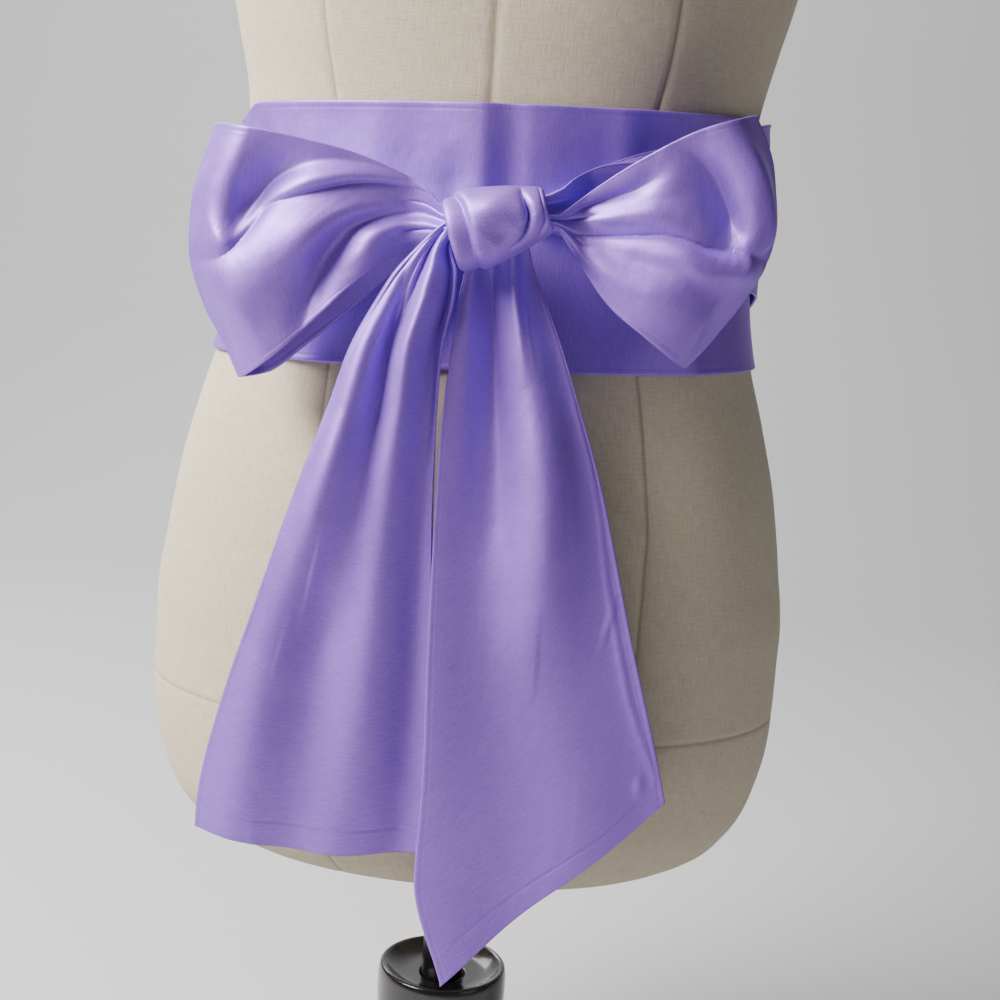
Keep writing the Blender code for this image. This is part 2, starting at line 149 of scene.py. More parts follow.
def grid_normals(points: np.ndarray, closed: bool = False) -> np.ndarray:
    """Return unit normals of a grid: column direction crossed with row direction.

    Args:
        points: rows x columns x 3.
        closed: True if the last column meets the first.

    Returns:
        One unit vector for each point.
    """
    down = np.gradient(points, axis=0)
    if closed:
        across = np.roll(points, -1, axis=1) - np.roll(points, 1, axis=1)
    else:
        across = np.gradient(points, axis=1)
    return unit(np.cross(across, down))


def edge_columns(count: int, width: float) -> np.ndarray:
    """Return shares from 0 to 1 with close columns along both edges of a strip.

    The first few columns step by tenths of a millimetre, to round the folded edge and to
    carry the stitched line; the rest are evenly spaced.

    Args:
        count: evenly spaced columns, with the two that close the edges.
        width: width of the strip in metres.

    Returns:
        The rising shares.
    """
    near = np.array([0.0, 0.25, 0.6, 1.1, 1.8, 2.5, 3.2, 3.9, 4.8]) * MM / width
    middle = np.linspace(near[-1], 1 - near[-1], count)[1:-1]
    return np.concatenate([near, middle, 1 - near[::-1]])


# ---- creases laid on as ridges and troughs -------------------------------------------
PATH_STEPS = 140           # points along a crease's path
POINTS_AT_ONCE = 6000      # grid points compared with the path at a time, to save memory
# Millimetres that one unit of each of a piece's two parameters stands for.
ROUND_WAIST = (2.1, 127.0)
ROUND_LOOP = (135.0, 108.0)
DOWN_TAIL = (310.0, 115.0)
ROUND_KNOT = (78.0, 98.0)


@dataclass(frozen=True)
class Fold:
    """A crease along a smooth path over a piece.

    Attributes:
        path: (along, across, height) points; height in millimetres, negative for a trough.
        left: reach in millimetres on the left of the path's direction, along to the right
            and across upwards.
        right: reach on its right.
        power: 2 is a round section, 1 a pinched one.
    """

    path: tuple
    left: float
    right: float
    power: float = 2.0

    def relief(self, along: np.ndarray, across: np.ndarray, scale: tuple) -> np.ndarray:
        """Return the crease's height over a grid, in metres.

        The path is read as a smooth curve by chord length.  Each grid point takes the
        height at its nearest place on the curve, times exp(-(distance / reach)^power).

        Args:
            along: grid of the first parameter.
            across: grid of the second parameter.
            scale: millimetres that one unit of each parameter stands for.

        Returns:
            The height at each grid point.
        """
        knots = np.array(self.path) * (scale[0], scale[1], 1.0)
        chord = np.concatenate([[0.0], np.cumsum(np.linalg.norm(np.diff(knots[:, :2], axis=0), axis=1))])
        steps = np.linspace(0.0, chord[-1], PATH_STEPS)
        line = np.stack([smooth(chord, knots[:, axis], steps) for axis in range(3)], axis=-1)
        tangent = unit(np.gradient(line[:, :2], axis=0))
        place = np.stack(np.broadcast_arrays(along * scale[0], across * scale[1]), axis=-1)
        flat = place.reshape(-1, 2)
        near = np.empty(len(flat), dtype=int)
        for start in range(0, len(flat), POINTS_AT_ONCE):
            part = flat[start:start + POINTS_AT_ONCE]
            gap = part[:, None, :] - line[None, :, :2]
            near[start:start + POINTS_AT_ONCE] = (gap ** 2).sum(axis=-1).argmin(axis=1)
        offset = flat - line[near, :2]
        forward = (offset * tangent[near]).sum(axis=-1)
        side = tangent[near, 0] * offset[:, 1] - tangent[near, 1] * offset[:, 0]
        beyond = ((near == 0) & (forward < 0)) | ((near == len(line) - 1) & (forward > 0))
        distance = np.where(beyond, np.hypot(side, forward), abs(side))
        reach = np.where(side > 0, self.left, self.right)
        height = line[near, 2] * np.exp(-(distance / reach) ** self.power)
        return (height * MM).reshape(place.shape[:2])


def relief_of(folds: tuple, along: np.ndarray, across: np.ndarray, scale: tuple) -> np.ndarray:
    """Return the sum of several creases over a grid, in metres."""
    total = np.zeros(np.broadcast_shapes(along.shape, across.shape))
    for fold in folds:
        total = total + fold.relief(along, across, scale)
    return total


# ---- meshes --------------------------------------------------------------------------
def dressed(name: str, mesh: bpy.types.Mesh, finish: bpy.types.Material,
            nodes: tuple) -> bpy.types.Object:
    """Make an object of a mesh, give it its finish and stand it for its CAD nodes.

    Args:
        name: the piece's name.
        mesh: its mesh, in place.
        finish: its material.
        nodes: CAD nodes it replaces.

    Returns:
        The new object.
    """
    piece = bpy.data.objects.new(name, mesh)
    bpy.context.scene.collection.objects.link(piece)
    mesh.materials.append(finish)
    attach(piece, "root")
    if nodes:
        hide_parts(*nodes)
    LOG.info("%s: %d faces", name, len(mesh.polygons))
    return piece


def mesh_of(name: str, points: np.ndarray, faces: list, corner_uv: np.ndarray) -> bpy.types.Mesh:
    """Build a smooth mesh with a UV map in metres.

    Args:
        name: the mesh's name.
        points: vertices, n x 3.
        faces: arrays of quads or triangles.
        corner_uv: one UV pair for each corner, in the order of the faces.

    Returns:
        The new mesh.
    """
    mesh = bpy.data.meshes.new(name)
    mesh.from_pydata(points.tolist(), [], [tuple(face) for group in faces for face in group.tolist()])
    layer = mesh.uv_layers.new(name="cloth")
    layer.data.foreach_set("uv", np.ascontiguousarray(corner_uv, dtype=np.float32).ravel())
    mesh.shade_smooth()
    mesh.validate()
    mesh.update()
    return mesh


def grid_quads(index: np.ndarray) -> np.ndarray:
    """Return the quads of an index grid, wound so that they face columns x rows."""
    return np.stack([index[:-1, :-1], index[:-1, 1:], index[1:, 1:], index[1:, :-1]],
                    axis=-1).reshape(-1, 4)


def shell_mesh(name: str, middle: np.ndarray, wall: np.ndarray, strip: np.ndarray,
               closed: bool = False) -> bpy.types.Mesh:
    """Build a closed thin shell about a middle surface.

    Each face point is the middle point moved half the wall along the unit normal, to
    either side.  Where the wall is zero on the boundary both faces share the point.

    Args:
        name: the mesh's name.
        middle: rows x columns x 3.
        wall: rows x columns thickness.
        strip: place on the flat cloth in metres, with one more column if closed.
        closed: True if the last column meets the first.

    Returns:
        The new mesh.
    """
    rows, columns = middle.shape[:2]
    push = grid_normals(middle, closed) * wall[..., None] / 2
    inner = np.zeros((rows, columns), dtype=bool)
    inner[1:-1, :] = True
    if not closed:
        inner[:, 0] = inner[:, -1] = False
    front = np.arange(rows * columns).reshape(rows, columns)
    back = front.copy()
    back[inner] = rows * columns + np.arange(inner.sum())
    rim = np.where(inner[..., None], push, 0.0)
    points = np.concatenate([(middle + rim).reshape(-1, 3), (middle - rim)[inner]])
    if closed:
        front = np.concatenate([front, front[:, :1]], axis=1)
        back = np.concatenate([back, back[:, :1]], axis=1)
    place = np.arange(front.size).reshape(front.shape)
    uv = strip.reshape(-1, 2)[grid_quads(place)]
    faces = [grid_quads(front), grid_quads(back)[:, ::-1]]
    return mesh_of(name, points, faces, np.concatenate([uv, uv[:, ::-1]]).reshape(-1, 2))


def rounded_mesh(name: str, points: np.ndarray, flat: np.ndarray) -> bpy.types.Mesh:
    """Build a closed surface from rings of points, with a pole at each end.

    Args:
        name: the mesh's name.
        points: rings x columns x 3, each ring closed.
        flat: place on the flat surface in metres, rings x (columns + 1).

    Returns:
        The new mesh.
    """
    rings, columns = points.shape[:2]
    index = np.arange(rings * columns).reshape(rings, columns)
    index = np.concatenate([index, index[:, :1]], axis=1)
    poles = np.stack([points[0].mean(axis=0), points[-1].mean(axis=0)])
    first = np.stack([np.full(columns, rings * columns), index[0, 1:], index[0, :-1]], axis=-1)
    last = np.stack([np.full(columns, rings * columns + 1), index[-1, :-1], index[-1, 1:]], axis=-1)
    place = np.arange(index.size).reshape(index.shape)
    uv_quads = flat.reshape(-1, 2)[grid_quads(place)].reshape(-1, 2)
    uv_first = np.stack([flat[0, :-1], flat[0, 1:], flat[0, :-1]], axis=1).reshape(-1, 2)
    uv_last = np.stack([flat[-1, :-1], flat[-1, :-1], flat[-1, 1:]], axis=1).reshape(-1, 2)
    return mesh_of(name, np.concatenate([points.reshape(-1, 3), poles]),
                   [grid_quads(index), first, last], np.concatenate([uv_quads, uv_first, uv_last]))


def hemmed_wall(share: np.ndarray, ends: float | np.ndarray = NO_END) -> np.ndarray:
    """Return the wall of a doubled strip with its edges turned in.

    It rises from nothing at an edge as a quarter circle, is a little fuller over the
    turned-in allowance and dips at the stitched lines.

    Args:
        share: share of the strip's width, on the columns or rows.
        ends: distance in metres to a cut end that shows, on the other axis.

    Returns:
        The thickness at each point.
    """
    edge = np.minimum(share, 1 - share) * STRIP_WIDTH
    allowance = 0.30 * MM * (1 - ease(np.minimum(edge - HEM, ends - END_HEM) / (2 * MM)))
    side_stitch = 0.40 * MM * np.exp(-((edge - HEM) / (0.55 * MM)) ** 2)
    end_stitch = 0.75 * MM * np.exp(-((ends - END_HEM) / (0.8 * MM)) ** 2) * ease((edge - 9 * MM) / (6 * MM))
    stitch = np.minimum(side_stitch + end_stitch, 0.8 * MM)
    return (CLOTH + allowance - stitch) * quarter_round(np.minimum(edge, ends), EDGE_ROUND)


def strip_map(length: np.ndarray, share: np.ndarray) -> np.ndarray:
    """Return each point's place on the flat strip: along it and across it, in metres."""
    return np.stack(np.broadcast_arrays(length, share * STRIP_WIDTH), axis=-1)


def sewn_strip(name: str, node: str, middle: np.ndarray, length: np.ndarray, share: np.ndarray,
               closing: float, finish: bpy.types.Material, turned: bool = False) -> bpy.types.Object:
    """Make a stretch of the strip whose cut ends are both out of sight.

    Its wall is that of the hemmed strip, closed at the two ends along a quarter circle.

    Args:
        name: the piece's name.
        node: the CAD node it stands for.
        middle: its middle surface, shares x lengths x 3.
        length: distance along the strip, from 0.
        share: share of the strip's width.
        closing: distance over which the wall closes at each end.
        finish: the satin.
        turned: True to turn the columns round, so that the cloth faces outwards.

    Returns:
        The new piece.
    """
    wall = hemmed_wall(share) * quarter_round(np.minimum(length, length.max() - length), closing)
    strip = strip_map(length, share)
    if turned:
        middle, wall, strip = middle[:, ::-1], wall[:, ::-1], strip[:, ::-1]
    return dressed(name, shell_mesh(name, middle, wall, strip), finish, (node,))


# ---- finishes ------------------------------------------------------------------------
def linear(colour: str) -> tuple:
    """Turn an sRGB hex colour into linear RGBA."""
    parts = [int(colour[i:i + 2], 16) / 255 for i in (1, 3, 5)]
    return tuple(p / 12.92 if p <= 0.04045 else ((p + 0.055) / 1.055) ** 2.4 for p in parts) + (1.0,)


def set_inputs(tree: bpy.types.NodeTree, node: bpy.types.Node, values: dict) -> None:
    """Give some of a node's sockets a link or a plain value.

    Args:
        tree: the material's node tree.
        node: the node.
        values: socket name or number -> output socket, or a plain value.
    """
    for name, value in values.items():
        if isinstance(value, bpy.types.NodeSocket):
            tree.links.new(value, node.inputs[name])
        else:
            node.inputs[name].default_value = value


def add_node(tree: bpy.types.NodeTree, kind: str, links: dict = None, **settings) -> bpy.types.Node:
    """Add a node with its settings and links.

    A Map Range node's sockets 0 to 4 are its value, the range it comes from and the range
    it goes to.  A colour Mix node's are 0 for the share, 6 and 7 for the colours, and its
    output is 2.

    Args:
        tree: the material's node tree.
        kind: the node's type.
        links: socket name or number -> output socket, or a plain value.
        settings: the node's own properties.

    Returns:
        The new node.
    """
    made = tree.nodes.new(kind)
    for name, value in settings.items():
        setattr(made, name, value)
    set_inputs(tree, made, links or {})
    return made


def new_material(name: str) -> tuple:
    """Return a new material, its node tree and its Principled shader."""
    made = bpy.data.materials.new(name)
    made.use_nodes = True
    return made, made.node_tree, made.node_tree.nodes["Principled BSDF"]


@dataclass(frozen=True)
class SatinFinish:
    """Polyester duchess satin, woven with long floats and lightly calendered.

    The floats lie along the strip, so highlights are broad and soft and the cloth falls to
    a deep violet where it turns from the light.
    """

    name: str = "lilac polyester duchess satin"
    body: str = "#a67ce9"
    deep: str = "#8c61d2"
    bloom: str = "#c4a9f6"
    roughness: float = 0.50
    metallic: float = 0.55         # the floats throw the light back in the cloth's own colour
    thread: float = 0.55 * MM      # drawn wider than the real 0.15 mm yarns, which are too fine to show
    slub: float = 14 * MM

    def material(self) -> bpy.types.Material:
        """Build the material: fine floats along the strip, thin cross yarns and soft clouding."""
        made, tree, shader = new_material(self.name)
        cloth = add_node(tree, "ShaderNodeUVMap", uv_map="cloth").outputs[0]
        along = add_node(tree, "ShaderNodeMapping", {"Vector": cloth, "Scale": (0.6, 1.0, 1.0)}).outputs[0]
        floats = add_node(tree, "ShaderNodeTexNoise", {
            "Vector": along, "Scale": 1 / self.thread, "Detail": 1.5, "Roughness": 0.7}).outputs[0]
        across = add_node(tree, "ShaderNodeMapping", {"Vector": cloth, "Scale": (1.0, 0.10, 1.0)}).outputs[0]
        yarns = add_node(tree, "ShaderNodeTexNoise", {
            "Vector": across, "Scale": 0.6 / self.thread, "Detail": 1.0}).outputs[0]
        cloud = add_node(tree, "ShaderNodeTexNoise", {
            "Vector": cloth, "Scale": 1 / self.slub, "Detail": 2.0}).outputs[0]
        faint = add_node(tree, "ShaderNodeMath", {0: yarns, 1: 0.35}, operation="MULTIPLY").outputs[0]
        weave = add_node(tree, "ShaderNodeMath", {0: floats, 1: faint}, operation="ADD").outputs[0]
        tone = add_node(tree, "ShaderNodeMapRange", {0: weave, 1: 0.45, 2: 0.9, 3: 0.0, 4: 1.0}).outputs[0]
        colour = add_node(tree, "ShaderNodeMix", {
            0: tone, 6: linear(self.deep), 7: linear(self.body)}, data_type="RGBA").outputs[2]
        gloss = add_node(tree, "ShaderNodeMapRange", {
            0: cloud, 1: 0.3, 2: 0.7, 3: self.roughness - 0.04, 4: self.roughness + 0.05}).outputs[0]
        fine = add_node(tree, "ShaderNodeBump", {
            "Height": weave, "Strength": 0.15, "Distance": 0.25 * MM}).outputs[0]
        soft = add_node(tree, "ShaderNodeBump", {
            "Height": cloud, "Strength": 0.12, "Distance": 3 * MM, "Normal": fine}).outputs[0]
        set_inputs(tree, shader, {
            "Base Color": colour, "Roughness": gloss, "Metallic": self.metallic, "Normal": soft,
            "Sheen Weight": 0.1, "Sheen Roughness": 0.45, "Sheen Tint": linear(self.bloom),
            "Specular IOR Level": 0.5, "IOR": 1.55})
        return made


@dataclass(frozen=True)
class LinenFinish:
    """Unbleached linen in plain weave, stretched over padding.

    Its thick and thin yarns give short pale and brown flecks both ways, and it is matt.
    """

    name: str = "unbleached linen plain weave"
    pale: str = "#cfc6b0"
    mid: str = "#b9ae95"
    fleck: str = "#8f8268"
    thread: float = 0.8 * MM      # close to the real 0.6 mm yarns
    roughness: float = 0.9

    def material(self) -> bpy.types.Material:
        """Build the material: yarns both ways, slubs, and a shaded line in each seam."""
        made, tree, shader = new_material(self.name)
        cloth = add_node(tree, "ShaderNodeUVMap", uv_map="cloth").outputs[0]
        ways = []
        for scale in ((1.0, 0.09, 1.0), (0.09, 1.0, 1.0)):
            way = add_node(tree, "ShaderNodeMapping", {"Vector": cloth, "Scale": scale}).outputs[0]
            ways.append(add_node(tree, "ShaderNodeTexNoise", {
                "Vector": way, "Scale": 1 / self.thread, "Detail": 3.0, "Roughness": 0.65}).outputs[0])
        weave = add_node(tree, "ShaderNodeMath", {0: ways[0], 1: ways[1]}, operation="ADD").outputs[0]
        tone = add_node(tree, "ShaderNodeMapRange", {0: weave, 1: 0.75, 2: 1.25, 3: 0.0, 4: 1.0}).outputs[0]
        base = add_node(tree, "ShaderNodeMix", {
            0: tone, 6: linear(self.mid), 7: linear(self.pale)}, data_type="RGBA").outputs[2]
        slub = add_node(tree, "ShaderNodeMapRange", {
            0: ways[1], 1: 0.62, 2: 0.78, 3: 0.0, 4: 0.45}).outputs[0]
        flecked = add_node(tree, "ShaderNodeMix", {
            0: slub, 6: base, 7: linear(self.fleck)}, data_type="RGBA").outputs[2]
        seam = add_node(tree, "ShaderNodeAttribute", attribute_name="seam").outputs["Fac"]
        colour = add_node(tree, "ShaderNodeMix", {
            0: seam, 6: flecked, 7: linear(self.fleck)}, data_type="RGBA").outputs[2]
        yarns = add_node(tree, "ShaderNodeBump", {
            "Height": weave, "Strength": 0.35, "Distance": 0.5 * MM}).outputs[0]
        set_inputs(tree, shader, {
            "Base Color": colour, "Roughness": self.roughness, "Normal": yarns,
            "Sheen Weight": 0.08, "Specular IOR Level": 0.3})
        return made


@dataclass(frozen=True)
class LacquerFinish:
    """Turned beech, sprayed with black lacquer: a deep gloss with a faint grain under it."""

    name: str = "black lacquered beech"
    colour: str = "#15151a"
    grain: str = "#1f1e22"
    grain_width: float = 1 / 260       # 3.8 mm between streaks of grain
    peel_width: float = 1 / 420        # 2.4 mm between ripples of the lacquer
    roughness: float = 0.22

    def material(self) -> bpy.types.Material:
        """Build the material: grain stretched along the Z axis, slight orange peel in the lacquer."""
        made, tree, shader = new_material(self.name)
        place = add_node(tree, "ShaderNodeTexCoord").outputs["Object"]
        along = add_node(tree, "ShaderNodeMapping", {"Vector": place, "Scale": (1.0, 1.0, 0.12)}).outputs[0]
        grain = add_node(tree, "ShaderNodeTexNoise", {
            "Vector": along, "Scale": 1 / self.grain_width, "Detail": 3.0}).outputs[0]
        colour = add_node(tree, "ShaderNodeMix", {
            0: grain, 6: linear(self.colour), 7: linear(self.grain)}, data_type="RGBA").outputs[2]
        gloss = add_node(tree, "ShaderNodeMapRange", {
            0: grain, 1: 0.3, 2: 0.7, 3: self.roughness - 0.04, 4: self.roughness + 0.06}).outputs[0]
        peel = add_node(tree, "ShaderNodeTexNoise", {
            "Vector": place, "Scale": 1 / self.peel_width, "Detail": 1.0}).outputs[0]
        ripple = add_node(tree, "ShaderNodeBump", {
            "Height": peel, "Strength": 0.06, "Distance": 0.3 * MM}).outputs[0]
        set_inputs(tree, shader, {
            "Base Color": colour, "Roughness": gloss, "Normal": ripple,
            "Coat Weight": 0.5, "Coat Roughness": 0.12})
        return made


@dataclass(frozen=True)
class EnamelFinish:
    """Steel tube with black stoving enamel: even, semi-gloss, with a faint sprayed texture."""

    name: str = "black enamelled steel tube"
    colour: str = "#17171a"
    rubbed: str = "#222226"
    speck: float = 0.625 * MM          # grain of the spray
    rub_width: float = 1 / 38          # 26 mm between rubbed patches
    roughness: float = 0.34

    def material(self) -> bpy.types.Material:
        """Build the material: one tone, fine spray texture and soft rubbed patches."""
        made, tree, shader = new_material(self.name)
        place = add_node(tree, "ShaderNodeTexCoord").outputs["Object"]
        spray = add_node(tree, "ShaderNodeTexNoise", {
            "Vector": place, "Scale": 1 / self.speck, "Detail": 1.0}).outputs[0]
        rubbed = add_node(tree, "ShaderNodeTexNoise", {
            "Vector": place, "Scale": 1 / self.rub_width, "Detail": 3.0}).outputs[0]
        colour = add_node(tree, "ShaderNodeMix", {
            0: rubbed, 6: linear(self.colour), 7: linear(self.rubbed)}, data_type="RGBA").outputs[2]
        gloss = add_node(tree, "ShaderNodeMapRange", {
            0: rubbed, 1: 0.3, 2: 0.7, 3: self.roughness - 0.05, 4: self.roughness + 0.08}).outputs[0]
        texture = add_node(tree, "ShaderNodeBump", {
            "Height": spray, "Strength": 0.08, "Distance": 0.2 * MM}).outputs[0]
        set_inputs(tree, shader, {"Base Color": colour, "Roughness": gloss, "Normal": texture})
        return made


@dataclass(frozen=True)
class PaperFinish:
    """Matt seamless studio paper."""

    name: str = "pale matt studio paper"
    colour: str = "#c9c9cb"
    shade: str = "#c4c4c7"
    cloud_width: float = 1 / 1.5       # 0.67 m between faint clouds

    def material(self) -> bpy.types.Material:
        """Build the material: one pale tone with very faint clouding."""
        made, tree, shader = new_material(self.name)
        place = add_node(tree, "ShaderNodeTexCoord").outputs["Object"]
        cloud = add_node(tree, "ShaderNodeTexNoise", {
            "Vector": place, "Scale": 1 / self.cloud_width, "Detail": 2.0}).outputs[0]
        colour = add_node(tree, "ShaderNodeMix", {
            0: cloud, 6: linear(self.shade), 7: linear(self.colour)}, data_type="RGBA").outputs[2]
        set_inputs(tree, shader, {"Base Color": colour, "Roughness": 0.95, "Specular IOR Level": 0.1})
        return made


# ---- the dress form ------------------------------------------------------------------
class TorsoRow(NamedTuple):
    """A section of the form: z from the waist, half width, depths and section's middle."""

    z: float
    width: float
    front: float
    back: float
    middle: float


TORSO_ROWS = (
    TorsoRow(-0.345, 0.078, 0.050, 0.050, 0.000),
    TorsoRow(-0.342, 0.112, 0.074, 0.076, 0.000),
    TorsoRow(-0.334, 0.138, 0.090, 0.093, 0.000),
    TorsoRow(-0.318, 0.156, 0.101, 0.106, 0.000),
    TorsoRow(-0.290, 0.168, 0.108, 0.117, 0.001),
    TorsoRow(-0.250, 0.173, 0.111, 0.124, 0.002),
    TorsoRow(-0.210, 0.173, 0.111, 0.125, 0.002),
    TorsoRow(-0.170, 0.168, 0.109, 0.120, 0.001),
    TorsoRow(-0.130, 0.161, 0.105, 0.110, 0.000),
    TorsoRow(-0.095, 0.152, 0.100, 0.099, 0.000),
    TorsoRow(-0.065, 0.143, 0.096, 0.091, 0.000),
    TorsoRow(-0.035, 0.137, 0.093, 0.085, 0.000),
    TorsoRow(-0.005, 0.134, 0.0905, 0.082, 0.000),
    TorsoRow(0.025, 0.133, 0.0895, 0.083, 0.000),
    TorsoRow(0.060, 0.134, 0.0905, 0.088, 0.000),
    TorsoRow(0.095, 0.141, 0.094, 0.095, 0.000),
    TorsoRow(0.130, 0.149, 0.098, 0.101, 0.001),
    TorsoRow(0.170, 0.155, 0.104, 0.106, 0.003),
    TorsoRow(0.210, 0.158, 0.104, 0.109, 0.006),
    TorsoRow(0.250, 0.160, 0.096, 0.110, 0.010),
    TorsoRow(0.290, 0.163, 0.085, 0.107, 0.014),
    TorsoRow(0.320, 0.166, 0.076, 0.098, 0.018),
    TorsoRow(0.340, 0.167, 0.068, 0.088, 0.020),
    TorsoRow(0.353, 0.161, 0.063, 0.080, 0.021),
    TorsoRow(0.363, 0.145, 0.059, 0.073, 0.022),
    TorsoRow(0.373, 0.119, 0.056, 0.066, 0.024),
    TorsoRow(0.383, 0.092, 0.053, 0.060, 0.025),
    TorsoRow(0.394, 0.072, 0.050, 0.055, 0.026),
    TorsoRow(0.410, 0.058, 0.047, 0.050, 0.026),
    TorsoRow(0.432, 0.053, 0.046, 0.048, 0.025),
    TorsoRow(0.455, 0.052, 0.046, 0.047, 0.024),
)


@dataclass(frozen=True)
class Torso:
    """The form's skin as a function of angle and height.

    Attributes:
        power: power of the superellipse sections; 2 is an ellipse.
        bust_x, bust_z: place of each breast.
        bust_spread_x, bust_spread_z: how far it spreads.
        bust_depth: how far it stands forward.
    """

    power: float = 2.15
    bust_x: float = 0.072
    bust_z: float = 0.185
    bust_spread_x: float = 0.046
    bust_spread_z: float = 0.052
    bust_depth: float = 0.020

    def skin(self, angle: np.ndarray, z: np.ndarray, lift=0.0) -> np.ndarray:
        """Return points on the skin, moved out by ``lift``.

        x is the half width times sin^(2/power) and y the front or back depth times
        cos^(2/power), each with its sign, plus the section's middle, less two Gaussian
        mounds on the front.

        Args:
            angle: 0 at the back, +90 degrees at the wearer's right (-X).
            z: height from the waist.
            lift: distance off the skin.

        Returns:
            Points from the floor, with x, y, z along the last axis.
        """
        width, front, back, middle = read_table(TORSO_ROWS, z)
        width, front, back = width + lift, front + lift, back + lift
        across, along = -np.sin(angle), np.cos(angle)
        x = width * np.sign(across) * abs(across) ** (2 / self.power)
        y = np.where(along < 0, front, back) * np.sign(along) * abs(along) ** (2 / self.power)
        mound = np.exp(-((abs(x) - self.bust_x) / self.bust_spread_x) ** 2
                       - ((z - self.bust_z) / self.bust_spread_z) ** 2)
        y = y + middle - np.where(along < 0, self.bust_depth * mound, 0.0)
        return np.stack(np.broadcast_arrays(x, y, z + WAIST_Z), axis=-1)

    def angle_at(self, x: np.ndarray, z: np.ndarray, front: bool) -> np.ndarray:
        """Return the angle at which a section reaches x.

        The turn from the middle is arcsin((|x| / half width)^(power / 2)).

        Args:
            x: distance from the middle, with its sign.
            z: height from the waist.
            front: True on the front half, False on the back.

        Returns:
            The angles, in the same sense as in ``skin``.
        """
        width = read_table(TORSO_ROWS, z)[0]
        turn = np.arcsin(np.clip(abs(x) / width, 0, 0.98) ** (self.power / 2))
        if front:
            return math.pi + np.sign(x) * turn
        return np.where(x < 0, turn, 2 * math.pi - turn)


class SeamRow(NamedTuple):
    """Where the princess seams lie: height, and distance from the middle of three of them."""

    z: float
    front_right: float
    front_left: float
    back: float


# Right and left as seen from the front.  The two back seams mirror each other.
SEAM_ROWS = (
    SeamRow(-0.345, 0.050, 0.048, 0.046),
    SeamRow(-0.300, 0.078, 0.066, 0.074),
    SeamRow(-0.250, 0.091, 0.073, 0.084),
    SeamRow(-0.150, 0.093, 0.074, 0.082),
    SeamRow(-0.100, 0.087, 0.073, 0.074),
    SeamRow(0.000, 0.072, 0.068, 0.062),
    SeamRow(0.100, 0.086, 0.084, 0.074),
    SeamRow(0.200, 0.089, 0.088, 0.084),
    SeamRow(0.300, 0.093, 0.093, 0.092),
    SeamRow(0.360, 0.080, 0.080, 0.078),
    SeamRow(0.455, 0.022, 0.022, 0.020),
)


